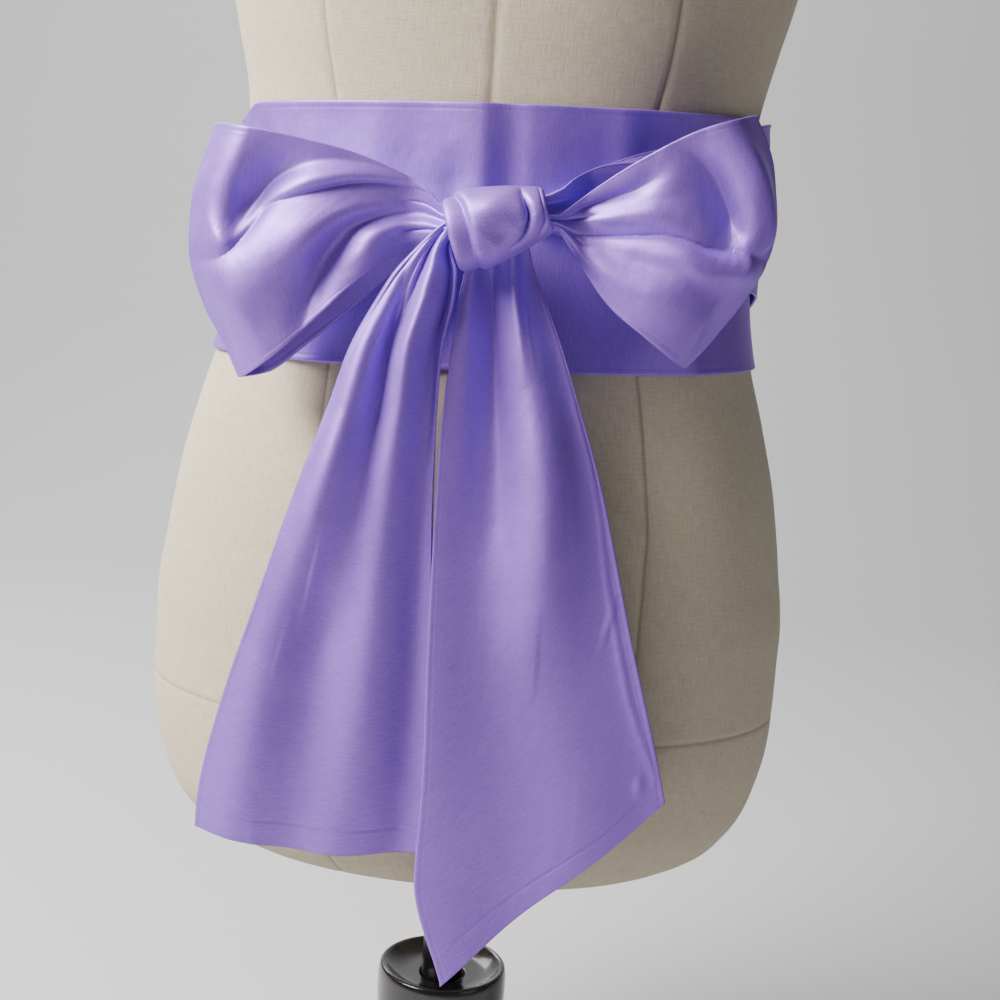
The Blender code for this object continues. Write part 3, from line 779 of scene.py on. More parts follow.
@dataclass
class FormCover:
    """The linen cover of the form: eight panels joined by plain pressed seams.

    Attributes:
        torso: the skin it lies on.
        panel_columns: columns over each panel, closest along its seams.
        rows: evenly spaced rows; more are put in at the hip seam and the lower rim.
        seam_depth, seam_width: the groove along each seam.
        mark_width: width of the shaded line in it.
        hip_seam: height of the seam across the hips, from the waist.
        seam_radius: radius that turns angles from a seam into distances.
        cloth_radius: radius that turns angles into lengths of cloth.
        lid_rings: rings that close the underside and the top of the neck.
    """

    torso: Torso
    panel_columns: int = 25
    rows: int = 190
    seam_depth: float = 0.0007
    seam_width: float = 0.0014
    mark_width: float = 0.8 * MM
    hip_seam: float = -0.252
    seam_radius: float = 0.125
    cloth_radius: float = 0.135
    lid_rings: int = 6

    def seams(self, z: np.ndarray) -> list:
        """Return the angle of each seam at each height, from the middle of the back round.

        Seams lie at the middle of the back, back princess lines, sides, front princess
        lines and the middle of the front.

        Args:
            z: heights from the waist.

        Returns:
            One array of angles for each seam, the first one again at the end.
        """
        right, left, back = read_table(SEAM_ROWS, z)
        at = self.torso.angle_at
        return [
            0.0 * z,
            at(-back, z, False), 0.0 * z + math.pi / 2, at(-left, z, True),
            0.0 * z + math.pi,
            at(right, z, True), 0.0 * z + 1.5 * math.pi, at(back, z, False),
            0.0 * z + 2 * math.pi,
        ]

    def heights(self) -> np.ndarray:
        """Return the rows' heights, close together at the hip seam and the lower rim."""
        even = np.linspace(TORSO_ROWS[0].z, TORSO_ROWS[-1].z, self.rows)
        seam = self.hip_seam + np.array([-3.0, -2.0, -1.2, -0.6, 0.0, 0.6, 1.2, 2.0, 3.0]) * MM
        rim = [row.z for row in TORSO_ROWS[1:5]] + [-0.3435, -0.339, -0.326]
        return np.unique(np.concatenate([even[abs(even - self.hip_seam) > 3.4 * MM], seam, rim]))

    def along_seams(self, edge: np.ndarray, z: np.ndarray, width: float, hip_share: float) -> np.ndarray:
        """Return a Gaussian line along every seam, fainter by a share along the hip seam."""
        hip = np.exp(-((z - self.hip_seam) / width) ** 2)
        return np.maximum(np.exp(-(edge / width) ** 2), hip_share * hip)

    def build(self, finish: bpy.types.Material) -> bpy.types.Object:
        """Build the cover: a closed skin from its flat underside to the top of the neck.

        Between two seams the angle runs as 0.12 u + 0.88 (3u^2 - 2u^3), which draws the
        columns together at the seams.  The lift is minus a Gaussian groove at each seam
        with small uneven puckers beside it, and a slow unevenness of the padding.

        Args:
            finish: the linen.

        Returns:
            The new piece.
        """
        z = self.heights()[:, None]
        u = np.linspace(0, 1, self.panel_columns, endpoint=False)[None, :]
        share = 0.12 * u + 0.88 * ease(u)
        lines = self.seams(z)
        panels = list(zip(lines[:-1], lines[1:]))
        angle = np.concatenate([first + (last - first) * share for first, last in panels], axis=1)
        nearest = np.minimum(share, 1 - share)
        turn = np.concatenate([nearest * (last - first) for first, last in panels], axis=1)
        edge = turn * self.seam_radius
        waver = z / (5.2 * MM) + 2.2 * np.sin(z / (31 * MM)) + 3.0 * np.floor(angle / 0.7)
        pucker = 0.16 * MM * np.exp(-edge / (9 * MM)) * np.sin(waver)
        padding = 0.5 * MM * np.sin(3 * angle + z / 0.06) * np.sin(z / 0.045 + 1.3)
        lift = pucker + padding * 0.4 - self.seam_depth * self.along_seams(edge, z, self.seam_width, 0.6)
        points = self.torso.skin(angle, z + 0 * angle, lift)
        inward = np.linspace(0.15, 0.93, self.lid_rings)[:, None, None]
        low, high = points[0].mean(axis=0), points[-1].mean(axis=0)
        rings = np.concatenate([low + (points[0][None] - low) * inward, points,
                                high + (points[-1][None] - high) * inward[::-1]])
        around = np.concatenate([angle, angle[:, :1] + 2 * math.pi], axis=1) * self.cloth_radius
        flat = np.stack([around, np.broadcast_to(z, around.shape)], axis=-1)
        flat = np.concatenate([np.repeat(flat[:1], self.lid_rings, axis=0), flat,
                               np.repeat(flat[-1:], self.lid_rings, axis=0)])
        mesh = rounded_mesh("form_cover", rings[:, ::-1], flat[:, ::-1])
        mark = 0.75 * self.along_seams(edge, z, self.mark_width, 0.7)
        mark = np.pad(mark, ((self.lid_rings, self.lid_rings), (0, 0)))
        layer = mesh.attributes.new("seam", "FLOAT", "POINT")
        layer.data.foreach_set("value", np.append(mark[:, ::-1], [0.0, 0.0]).astype(np.float32))
        return dressed("form_cover", mesh, finish, ("form_body",))


# ---- the stand -----------------------------------------------------------------------
@dataclass
class TurnedPart:
    """A part turned round an upright axis.

    Attributes:
        name: the piece's name.
        node: the CAD node it stands for.
        profile: (radius, z) points from the bottom up; z from the floor.
        squash: depth over width of each ring, 1 for a round part.
        centre_y: place of the axis.
        rounding: radius of the softened corners.
        columns: points round each ring.
    """

    name: str
    node: str
    profile: tuple
    squash: float = 1.0
    centre_y: float = 0.0
    rounding: float = 0.0012
    columns: int = 96

    def softened(self) -> np.ndarray:
        """Return the profile with each inner corner swapped for a short arc.

        Each corner becomes a quadratic curve between two points that lie the rounding,
        or 0.45 of the shorter side, away from it.

        Returns:
            The new (radius, z) points.
        """
        points = np.array(self.profile, dtype=float)
        out = [points[0]]
        t = np.linspace(0, 1, 6)[:, None]
        for before, corner, after in zip(points[:-2], points[1:-1], points[2:]):
            back, ahead = before - corner, after - corner
            reach = min(self.rounding, 0.45 * np.linalg.norm(back), 0.45 * np.linalg.norm(ahead))
            start = corner + unit(back) * reach
            end = corner + unit(ahead) * reach
            out.extend((1 - t) ** 2 * start + 2 * t * (1 - t) * corner + t ** 2 * end)
        out.append(points[-1])
        return np.array(out)

    def build(self, finish: bpy.types.Material, slot: Slot) -> bpy.types.Object:
        """Build the part: each ring is the radius times (cos, squash sin) at its height.

        Args:
            finish: its material.
            slot: the record's slot that the finish belongs to; not used.

        Returns:
            The new piece.
        """
        profile = self.softened()
        radius, z = np.maximum(profile[:, :1], 0.0002), profile[:, 1:]
        angle = np.linspace(0, 2 * math.pi, self.columns, endpoint=False)[None, :]
        points = np.stack(np.broadcast_arrays(
            radius * np.cos(angle), radius * self.squash * np.sin(angle) + self.centre_y, z), axis=-1)
        around = np.linspace(0, 2 * math.pi, self.columns + 1)[None, :] * radius
        flat = np.stack(np.broadcast_arrays(around, z), axis=-1)
        mesh = rounded_mesh(self.name, points, flat)
        return dressed(self.name, mesh, finish, (self.node,))


# Profiles as (share of the radius, share of the height) points, from the bottom up.
LID_PROFILE = (
    (0.0, 0.0), (1.0, 0.0), (1.0, 0.34), (0.97, 0.50), (0.90, 0.68), (0.76, 0.83), (0.6, 0.915), (0.3, 0.98),
    (0.0, 1.0))
HUB_SIDE = (
    (0.0, 0.0), (0.64, 0.0), (0.74, 0.05), (0.86, 0.18), (0.94, 0.34), (0.985, 0.51), (1.0, 0.67),
    (1.0, 0.84), (0.993, 0.93), (0.97, 0.985), (0.935, 1.0))
HUB_BOWL = ((0.895, 0.93), (0.84, 0.68), (0.77, 0.42), (0.68, 0.20), (0.56, 0.06))
FOOT_OVER_NECK = 1.6       # foot of the column over its slender middle
POLE_SUNK = 0.0010         # the pole goes on below its solid, into the hub
HUB_FLOOR_DROP = 0.0004    # floor of the hub's bowl, below the pole's solid


def half_width(node: str) -> float:
    """Return half the width of a solid's box."""
    low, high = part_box(node)
    return (high.x - low.x) / 2


def profile_of(shares: tuple, radius: float, low: float, height: float) -> list:
    """Return a profile in metres from its (share of radius, share of height) points."""
    return [(radius * r, low + height * h) for r, h in shares]


def neck_lid() -> TurnedPart:
    """Return the domed lid of the neck, a little flatter from front to back."""
    low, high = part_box("form_neck_cap")
    profile = profile_of(LID_PROFILE, half_width("form_neck_cap"), low.z, high.z - low.z)
    return TurnedPart("neck_lid", "form_neck_cap", tuple(profile),
                      squash=(high.y - low.y) / (high.x - low.x), centre_y=(high.y + low.y) / 2)


def base_disc() -> TurnedPart:
    """Return the round base: a square foot with eased edges under a low cone."""
    low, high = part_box("stand_base")
    radius, thick, eased = half_width("stand_base"), high.z - low.z, 0.004
    profile = ((0.0, low.z), (radius - eased, low.z), (radius, low.z + eased), (radius, thick * 0.36),
               (radius - 0.006, thick * 0.56), (0.66 * radius, thick * 0.86), (0.34 * radius, thick),
               (0.0, thick))
    return TurnedPart("base_disc", "stand_base", profile, rounding=0.003, columns=160)


def turned_hub() -> TurnedPart:
    """Return the hub: a rounded bowl-shaped knob with a dish in its top and a collar at the pole."""
    low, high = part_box("stand_hub")
    radius, pole = half_width("stand_hub"), half_width("stand_pole")
    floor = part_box("stand_pole")[0].z - HUB_FLOOR_DROP
    side = profile_of(HUB_SIDE, radius, low.z, high.z - low.z)
    bowl = profile_of(HUB_BOWL, radius, floor, high.z - floor)
    collar = [(pole + 0.0016, floor + 0.0004), (pole + 0.0007, floor - 0.0008),
              (pole - 0.001, floor - 0.0014), (0.0, floor - 0.0014)]
    return TurnedPart("turned_hub", "stand_hub", tuple(side + bowl + collar), rounding=0.004)


def turned_column() -> TurnedPart:
    """Return the column: a wide foot that sweeps in to a slender neck."""
    low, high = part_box("stand_column")
    foot = half_width("stand_column")
    neck = foot / FOOT_OVER_NECK
    profile = ((0.0, low.z), (foot, low.z), (foot, low.z + 0.003), (neck * 1.32, low.z + 0.008),
               (neck * 1.06, low.z + 0.016), (neck, low.z + 0.026), (neck * 0.95, high.z - 0.006),
               (neck * 0.90, high.z), (0.0, high.z))
    return TurnedPart("turned_column", "stand_column", profile, rounding=0.004)


def enamelled_pole() -> TurnedPart:
    """Return the straight pole from the hub into the form."""
    low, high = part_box("stand_pole")
    radius, bottom = half_width("stand_pole"), low.z - POLE_SUNK
    profile = ((0.0, bottom), (radius, bottom), (radius, high.z), (0.0, high.z))
    return TurnedPart("enamelled_pole", "stand_pole", profile, rounding=0.0006, columns=64)


# ---- the sash ------------------------------------------------------------------------
@dataclass
class WaistTurn:
    """The first turn: flat across the front and round both sides to the crossing.

    Attributes:
        torso: the form it lies on.
        folds: creases over (degrees from the middle of the back, share of the width).
        flat: cut width and length of what shows.
        slip: how far the upper edge slides down behind the two loops.
        roll: how far the upper edge rolls outwards.
        deepest: the deepest that a crease may go towards the form.
        columns, rows: columns round the waist and rows over the width.
    """

    torso: Torso
    folds: tuple
    flat: tuple = (STRIP_WIDTH, 0.745)
    slip: float = 0.007
    roll: float = 0.0012
    deepest: float = 0.9 * MM
    columns: int = 380
    rows: int = 46

    def build(self, finish: bpy.types.Material) -> bpy.types.Object:
        """Build the turn.

        The height is the share of the strip's width from the band's middle, tilted with x;
        the lift is the gap to the form, half the cloth, a slight outward roll of the upper
        edge and the creases.

        Args:
            finish: the satin.

        Returns:
            The new piece.
        """
        share = edge_columns(self.rows, STRIP_WIDTH)[:, None]
        angle = np.linspace(CROSSING, 2 * math.pi - CROSSING, self.columns)[None, :]
        degrees = np.degrees(angle)
        x = self.torso.skin(angle, 0.0 * angle)[..., 0]
        slip = self.slip * (ease((120 - degrees) / 14) + 0.6 * ease((degrees - 244) / 14))
        z = BAND_MIDDLE + (share - 0.5) * STRIP_WIDTH + BAND_TILT * x - slip * share ** 3
        roll = self.roll * np.clip(share * 2 - 1, 0, 1) ** 2
        relief = np.maximum(relief_of(self.folds, degrees, share, ROUND_WAIST), -self.deepest)
        middle = self.torso.skin(angle, z, BAND_GAP + CLOTH / 2 + roll + relief)
        length = np.linspace(0, self.flat[1], self.columns)[None, :]
        piece = sewn_strip("waist_turn", "sash_band", middle, length, share, 2 * MM, finish)
        return piece


class TurnRow(NamedTuple):
    """A place on the second turn: degrees, lower and upper edge, lift and gather depth."""

    angle: float
    bottom: float
    top: float
    lift: float
    gather: float


@dataclass
class OuterTurn:
    """The second turn of one half, from the crossing round its side to the knot.

    Attributes:
        name: the piece's name.
        node: the CAD node it stands for.
        torso: the form that it goes round.
        side: -1 round the wearer's right, +1 round the left.
        rows: table of the turn.
        folds: creases over (degrees, share of the width).
        flat: cut width and length of what shows.
        gathers: number of gathers over the width.
        start: degrees by which it starts past its table's first row.
        columns, lines: columns round the waist and lines over the width.
    """

    name: str
    node: str
    torso: Torso
    side: int
    rows: tuple
    folds: tuple
    flat: tuple
    gathers: int = 3
    start: float = 0.23
    columns: int = 300
    lines: int = 46

    def build(self, finish: bpy.types.Material) -> bpy.types.Object:
        """Build the turn.

        The lift is the table's lift plus its gather depth times a wave of three gathers
        with a finer, uneven one on it, and the creases.

        Args:
            finish: the satin.

        Returns:
            The new piece.
        """
        degrees = np.linspace(self.rows[0].angle + self.start, self.rows[-1].angle, self.columns)[None, :]
        share = edge_columns(self.lines, STRIP_WIDTH)[:, None]
        bottom, top, lift, gather = read_table(self.rows, degrees)
        drift = 0.06 * np.sin(degrees / 23.0 + 1.0)
        wave = (1 - np.cos(2 * math.pi * self.gathers * (share + drift * share * (1 - share)))) / 2
        fine = 0.22 * np.sin(2 * math.pi * (7 * share + degrees / 95.0)) * np.sin(math.pi * share)
        relief = relief_of(self.folds, degrees, share, ROUND_WAIST)
        angle = np.radians(degrees) * -self.side
        x = self.torso.skin(angle, 0.0 * angle)[..., 0]
        z = bottom + (top - bottom) * share + BAND_TILT * x
        raised = lift + CLOTH / 2 + np.maximum(gather * (wave + fine) + relief, -0.3 * MM)
        middle = self.torso.skin(angle + 0 * share, z, raised)
        length = np.linspace(0, self.flat[1], self.columns)[None, :]
        piece = sewn_strip(self.name, self.node, middle, length, share, 1.5 * MM, finish,
                           turned=self.side > 0)
        return piece


class Pleat(NamedTuple):
    """A fan of gathers at the knot: how many, how deep, how soon it dies out, its phase."""

    count: float
    depth: float
    fade: float
    phase: float

    def height(self, share: np.ndarray, away: np.ndarray) -> np.ndarray:
        """Return depth exp(-away / fade) cos(2 pi count share + phase)."""
        return self.depth * np.exp(-away / self.fade) * np.cos(2 * math.pi * self.count * share + self.phase)


class LoopRow(NamedTuple):
    """A place round a loop: turn, lower and upper edge from the waist, half its depth."""

    turn: float
    bottom: float
    top: float
    half_depth: float


@dataclass
class BowLoop:
    """One loop of the bow, followed from its front root past the outer fold to its back root.

    Attributes:
        name: the piece's name.
        node: the CAD node it stands for.
        side: -1 towards the wearer's right, +1 towards the left.
        root_x, root_z: where the loop leaves the knot.
        outer: (share, x) of the outer fold.
        rows: table of edges and depth.
        folds: creases over (turn, share).
        flat: cut width and length of the loop.
        area: flat area of the cloth that shows; not used.
        middle_y: middle of the loop's depth, at the knot.
        bow_y: how far the outer fold lies behind it.
        tip_power: how round the outer fold is; 2 is a parabola.
        tuck: turn at which the roots end, inside the knot.
        tuck_y: how far the roots are drawn forward there.
        pleats: gathers at the knot.
        columns, lines: columns round the loop and lines over the width.
    """

    name: str
    node: str
    side: int
    root_x: float
    root_z: float
    outer: tuple
    rows: tuple
    folds: tuple
    flat: tuple
    area: float
    middle_y: float = -0.1140
    bow_y: float = 0.004
    tip_power: float = 1.55
    tuck: float = 1.085
    tuck_y: float = -0.0135
    pleats: tuple = (Pleat(1.6, 0.0026, 0.20, 0.0), Pleat(3.4, 0.0011, 0.10, 0.8),
                     Pleat(6.0, 0.0004, 0.05, 2.1))
    columns: int = 250
    lines: int = 74

    def tucked(self, turn: np.ndarray, start: float) -> np.ndarray:
        """Return how far into the knot each turn is: 0 at the start, 1 at the very ends."""
        return ease((abs(turn) - start) / (self.tuck - start))

    def build(self, finish: bpy.types.Material) -> bpy.types.Object:
        """Build the loop.

        The reach is 1 - |turn|^1.55, so the outer fold is round.  x runs from the root to
        the outer fold's x with the reach; y is the bow's middle plus or minus half the
        depth; z is shared between the edges.  Pleats are cosines over the width that die
        out with the reach, and the creases move the cloth along its own normal.

        Args:
            finish: the satin.

        Returns:
            The new piece.
        """
        turn = np.linspace(-self.tuck, self.tuck, self.columns)[None, :]
        share = edge_columns(self.lines, STRIP_WIDTH)[:, None]
        bottom, top, half_depth = read_table(self.rows, turn)
        reach = 1 - abs(turn) ** self.tip_power
        x = self.root_x + (read_table(self.outer, share)[0] - self.root_x) * reach
        tucked = self.tucked(turn, 0.90)
        pleat = (1 - 0.75 * tucked) * sum(row.height(share, np.maximum(reach, 0)) for row in self.pleats)
        y = (self.middle_y + self.bow_y * reach + np.sign(turn) * half_depth + pleat
             + self.tuck_y * tucked)
        z = bottom + (top - bottom) * share
        z = self.root_z + (z - self.root_z) * (1 - 0.5 * self.tucked(turn, 0.95)) + WAIST_Z
        middle = np.stack(np.broadcast_arrays(self.side * x, y, z), axis=-1)
        outward = grid_normals(middle)
        if outward[len(share) // 2, self.columns // 5, 1] > 0:
            outward = -outward
        middle = middle + outward * relief_of(self.folds, turn, share, ROUND_LOOP)[..., None]
        length = (turn / self.tuck + 1) / 2 * self.flat[1]
        piece = sewn_strip(self.name, self.node, middle, length, share, 1.5 * MM, finish,
                           turned=self.side > 0)
        return piece


class TailRow(NamedTuple):
    """A level of a tail: depth below the waist, edges, distance in front, fold depth."""

    down: float
    left: float
    right: float
    front: float
    fold: float


# Distances of a hanging end's last rows from its cut edge, closest at the hem's stitched
# line and at the edge itself.
HEM_ROWS = np.array([17, 15.4, 14.2, 13.4, 12.8, 12.4, 12.0, 11.6, 11.2, 10.6, 9.8, 8.8, 7.6, 6.4, 5.2,
                     4.0, 3.0, 2.2, 1.6, 1.1, 0.6, 0.25, 0.0]) * MM


@dataclass
class Tail:
    """One hanging end, gathered under the knot and spreading in soft folds to its cut end.

    Attributes:
        name: the piece's name.
        node: the CAD node it stands for.
        rows: table of edges, place and fold depth.
        waves: number of folds over the width, and where they start.
        root, hem: depth of its top and of its cut end below the waist, at left and right.
        bow: how far the middle of the cut end hangs lower.
        folds: creases over (fall, share).
        flat: cut width and length.
        area: flat area of the cloth that shows; not used.
        twist: how far the right edge of the cut end lies behind the left one.
        pleats: gathers under the knot.
        columns, lines: columns over the width and lines down to the hem.
    """

    name: str
    node: str
    rows: tuple
    waves: tuple
    root: tuple
    hem: tuple
    bow: float
    folds: tuple
    flat: tuple
    area: float
    twist: float = 0.0
    pleats: tuple = (Pleat(3.2, 0.0008, 0.06, 0.7), Pleat(6.5, 0.0003, 0.03, 2.0))
    columns: int = 74
    lines: int = 230

    def build(self, finish: bpy.types.Material) -> bpy.types.Object:
        """Build the tail.

        The depth below the waist runs from the root to the hem as fall^1.15; x is shared
        between the edges; y is the front distance plus a cosine fold over the width, with
        finer pleats that die out below the knot.

        Args:
            finish: the satin.

        Returns:
            The new piece.
        """
        share = edge_columns(self.columns, STRIP_WIDTH)[None, :]
        step = HEM_ROWS / self.flat[1]
        fall = np.concatenate([np.linspace(0, 1 - step[0], self.lines, endpoint=False), 1 - step])[:, None]
        start = self.root[0] + (self.root[1] - self.root[0]) * share
        hem = self.hem[0] + (self.hem[1] - self.hem[0]) * share + self.bow * np.sin(math.pi * share)
        down = start + (hem - start) * fall ** 1.15
        left, right, front, fold = read_table(self.rows, down)
        x = left + (right - left) * share
        uneven = share + 0.05 * np.sin(2 * math.pi * share + 1.2) + 0.10 * fall
        pleats = sum(pleat.height(uneven, fall) for pleat in self.pleats)
        y = (-front + fold * np.cos(2 * math.pi * (self.waves[0] * share + self.waves[1])) + pleats
             + self.twist * (share - 0.4) * fall ** 2)
        y = y - relief_of(self.folds, fall, share, DOWN_TAIL)
        middle = np.stack(np.broadcast_arrays(x, y, WAIST_Z - down), axis=-1)
        length = fall * self.flat[1]
        wall = hemmed_wall(share + 0 * fall, np.maximum(self.flat[1] - length, 0.0))
        wall = wall * quarter_round(length, 1.5 * MM)
        strip = strip_map(length, share)
        piece = dressed(self.name, shell_mesh(self.name, middle[::-1], wall[::-1], strip[::-1]),
                        finish, (self.node,))
        return piece


class KnotRow(NamedTuple):
    """A ring of the knot: place along its axis, half height and half depth."""

    along: float
    height: float
    depth: float


@dataclass
class WrappedKnot:
    """The knot: the strip wound once round, with its ends turned in where the loops leave.

    Attributes:
        rows: rings along the sloping axis, evenly shared out.
        folds: creases over (ring share, turns round from the back).
        centre: its middle, z from the waist.
        slope: rise of its axis towards the wearer's left.
        flat: cut width and length of what shows: along the knot and round it.
        columns, rings: columns round the knot and rings along it.
    """

    rows: tuple
    folds: tuple
    centre: tuple = (0.0110, -0.1285, 0.0030)
    slope: float = math.radians(19.0)
    flat: tuple = (0.078, 0.098)
    columns: int = 220
    rings: int = 150

    def build(self, finish: bpy.types.Material) -> bpy.types.Object:
        """Build the knot: ellipse rings on the sloping axis, moved out by the creases.

        Args:
            finish: the satin.

        Returns:
            The new piece.
        """
        place = np.linspace(0, 1, self.rings)[:, None]
        turn = np.linspace(0, 1, self.columns, endpoint=False)[None, :]
        knots = np.linspace(0, 1, len(self.rows))
        along, half_height, half_depth = (smooth(knots, curve, place) for curve in np.array(self.rows).T)
        angle = 2 * math.pi * turn - math.pi
        height, depth = half_height * np.sin(angle), -half_depth * np.cos(angle)
        x = along * math.cos(self.slope) - height * math.sin(self.slope) + self.centre[0]
        z = along * math.sin(self.slope) + height * math.cos(self.slope) + self.centre[2] + WAIST_Z
        middle = np.stack(np.broadcast_arrays(x, depth + self.centre[1], z), axis=-1)
        outward = grid_normals(middle, closed=True)
        if outward[self.rings // 2, self.columns // 2, 1] > 0:
            outward = -outward
        relief = relief_of(self.folds, place, turn, ROUND_KNOT)
        middle = middle + outward * (relief - CLOTH / 2)[..., None]
        ends = np.minimum(place, 1 - place) * self.flat[0]
        wall = CLOTH * quarter_round(ends, 1.2 * MM) + 0 * turn
        around = np.linspace(0, 1, self.columns + 1)[None, :]
        strip = np.stack(np.broadcast_arrays(around * self.flat[1], place * self.flat[0]), axis=-1)
        piece = dressed("wrapped_knot", shell_mesh("wrapped_knot", middle, wall, strip, closed=True),
                        finish, ("sash_knot",))
        return piece


# ---- tables of the sash --------------------------------------------------------------
BAND_FOLDS = (
    Fold(((179.3, -0.05, 1.0), (179.9, 0.35, 2.2), (179.8, 0.7, 5.8), (179.5, 0.9, 5.4),
          (179.2, 1.05, 3.6)), 20.0, 6.0, 1.5),
    Fold(((189.0, -0.05, 0.8), (188.5, 0.4, 1.6), (188.0, 0.8, 2.4), (187.5, 1.05, 2.0)), 7.0, 17.0, 1.7),
    Fold(((212.0, 0.2, 0.4), (209.0, 0.6, 1.2), (207.5, 0.85, 1.6), (207.0, 1.05, 1.2)), 8.0, 9.0),
    Fold(((228.0, -0.05, 1.6), (224.0, 0.3, 1.8), (221.0, 0.7, 1.2)), 12.0, 8.0),
    Fold(((175.4, 0.62, -1.0), (175.2, 0.70, -1.6), (175.4, 0.78, -0.6)), 6.0, 6.0),
    Fold(((150.0, 0.02, 1.8), (153.0, 0.30, 1.4), (158.0, 0.75, 1.4), (160.0, 1.0, 0.8)), 12.0, 12.0),
    Fold(((126.0, 0.74, -0.8), (124.0, 0.84, -1.4), (119.0, 0.92, -1.0)), 4.0, 6.0),
    Fold(((262.0, 0.15, 0.0), (258.0, 0.45, 0.9), (262.0, 0.8, 0.8), (268.0, 1.0, 0.3)), 9.0, 12.0),
    Fold(((96.0, 0.2, 0.4), (100.0, 0.5, 0.9), (97.0, 0.9, 0.6)), 9.0, 12.0),
)

LEFT_TURN_ROWS = (
    TurnRow(-30, -0.0670, 0.0580, 0.0013, 0.0000),
    TurnRow(-14, -0.0240, 0.0595, 0.0015, 0.0010),
    TurnRow(-7, 0.0005, 0.0595, 0.0018, 0.0024),
    TurnRow(0, 0.0040, 0.0590, 0.0034, 0.0046),
    TurnRow(7, 0.0015, 0.0590, 0.0060, 0.0040),
    TurnRow(14, -0.0260, 0.0600, 0.0068, 0.0024),
    TurnRow(30, -0.0700, 0.0610, 0.0066, 0.0010),
    TurnRow(60, -0.0600, 0.0560, 0.0054, 0.0006),
    TurnRow(90, -0.0500, 0.0480, 0.0054, 0.0012),
    TurnRow(120, -0.0400, 0.0420, 0.0050, 0.0022),
    TurnRow(145, -0.0280, 0.0330, 0.0040, 0.0036),
    TurnRow(160, -0.0190, 0.0250, 0.0036, 0.0046),
    TurnRow(173, -0.0090, 0.0110, 0.0050, 0.0040),
)
RIGHT_TURN_ROWS = (
    TurnRow(-30, -0.0670, 0.0580, 0.0013, 0.0000),
    TurnRow(-14, -0.0660, 0.0120, 0.0015, 0.0010),
    TurnRow(-7, -0.0650, -0.0025, 0.0018, 0.0024),
    TurnRow(0, -0.0640, -0.0040, 0.0034, 0.0046),
    TurnRow(7, -0.0630, -0.0015, 0.0060, 0.0040),
    TurnRow(14, -0.0660, 0.0220, 0.0068, 0.0024),
    TurnRow(30, -0.0700, 0.0610, 0.0066, 0.0010),
    TurnRow(60, -0.0520, 0.0600, 0.0054, 0.0006),
    TurnRow(90, -0.0330, 0.0590, 0.0054, 0.0014),
    TurnRow(120, -0.0250, 0.0520, 0.0050, 0.0024),
    TurnRow(142, -0.0170, 0.0420, 0.0040, 0.0036),
    TurnRow(154, -0.0110, 0.0345, 0.0036, 0.0046),
    TurnRow(162, -0.0050, 0.0250, 0.0040, 0.0044),
    TurnRow(172, 0.0010, 0.0130, 0.0056, 0.0030),
)
LEFT_TURN_FOLDS = (
    Fold(((22, 0.20, 0.0), (48, 0.26, 1.6), (80, 0.36, 2.2), (120, 0.45, 1.4), (150, 0.5, 0.0)),
          9.0, 6.0, 1.6),
    Fold(((28, 0.62, 0.0), (60, 0.62, 1.2), (95, 0.68, 1.8), (130, 0.70, 1.0), (150, 0.7, 0.0)),
          6.0, 9.0, 1.6),
)
RIGHT_TURN_FOLDS = (
    Fold(((24, 0.70, 0.0), (52, 0.64, 1.8), (84, 0.58, 2.0), (118, 0.55, 1.2), (146, 0.52, 0.0)),
          6.0, 9.0, 1.6),
    Fold(((30, 0.30, 0.0), (62, 0.32, 1.4), (100, 0.28, 1.7), (132, 0.3, 0.8), (150, 0.3, 0.0)),
          8.0, 6.0, 1.6),
)

LEFT_LOOP_ROWS = (
    LoopRow(-1.00, -0.0080, 0.0120, 0.0045),
    LoopRow(-0.93, -0.0110, 0.0190, 0.0070),
    LoopRow(-0.78, -0.0220, 0.0285, 0.0135),
    LoopRow(-0.60, -0.0430, 0.0340, 0.0190),
    LoopRow(-0.35, -0.0670, 0.0380, 0.0195),
    LoopRow(0.00, -0.0790, 0.0400, 0.0000),
    LoopRow(0.25, -0.0770, 0.0390, 0.0125),
    LoopRow(0.50, -0.0600, 0.0340, 0.0130),
    LoopRow(0.72, -0.0380, 0.0260, 0.0100),
    LoopRow(0.90, -0.0170, 0.0170, 0.0060),
    LoopRow(1.00, -0.0090, 0.0120, 0.0040),
)
LEFT_LOOP_OUTER = ((0.0, 0.110), (0.13, 0.118), (0.29, 0.129), (0.53, 0.137), (0.72, 0.136), (0.85, 0.132),
                   (1.0, 0.126))
RIGHT_LOOP_ROWS = (
    LoopRow(-1.00, 0.0010, 0.0090, 0.0045),
    LoopRow(-0.87, -0.0150, 0.0230, 0.0090),
    LoopRow(-0.73, -0.0300, 0.0350, 0.0150),
    LoopRow(-0.50, -0.0430, 0.0490, 0.0205),
    LoopRow(-0.25, -0.0530, 0.0565, 0.0170),
    LoopRow(0.00, -0.0580, 0.0600, 0.0000),
    LoopRow(0.25, -0.0550, 0.0560, 0.0125),
    LoopRow(0.50, -0.0420, 0.0460, 0.0130),
    LoopRow(0.72, -0.0260, 0.0365, 0.0100),
    LoopRow(0.88, -0.0100, 0.0320, 0.0060),
    LoopRow(1.00, 0.0010, 0.0230, 0.0040),
)
RIGHT_LOOP_OUTER = ((0.0, 0.102), (0.08, 0.110), (0.29, 0.127), (0.46, 0.136), (0.57, 0.138), (0.72, 0.136),
                    (0.84, 0.133), (1.0, 0.124))
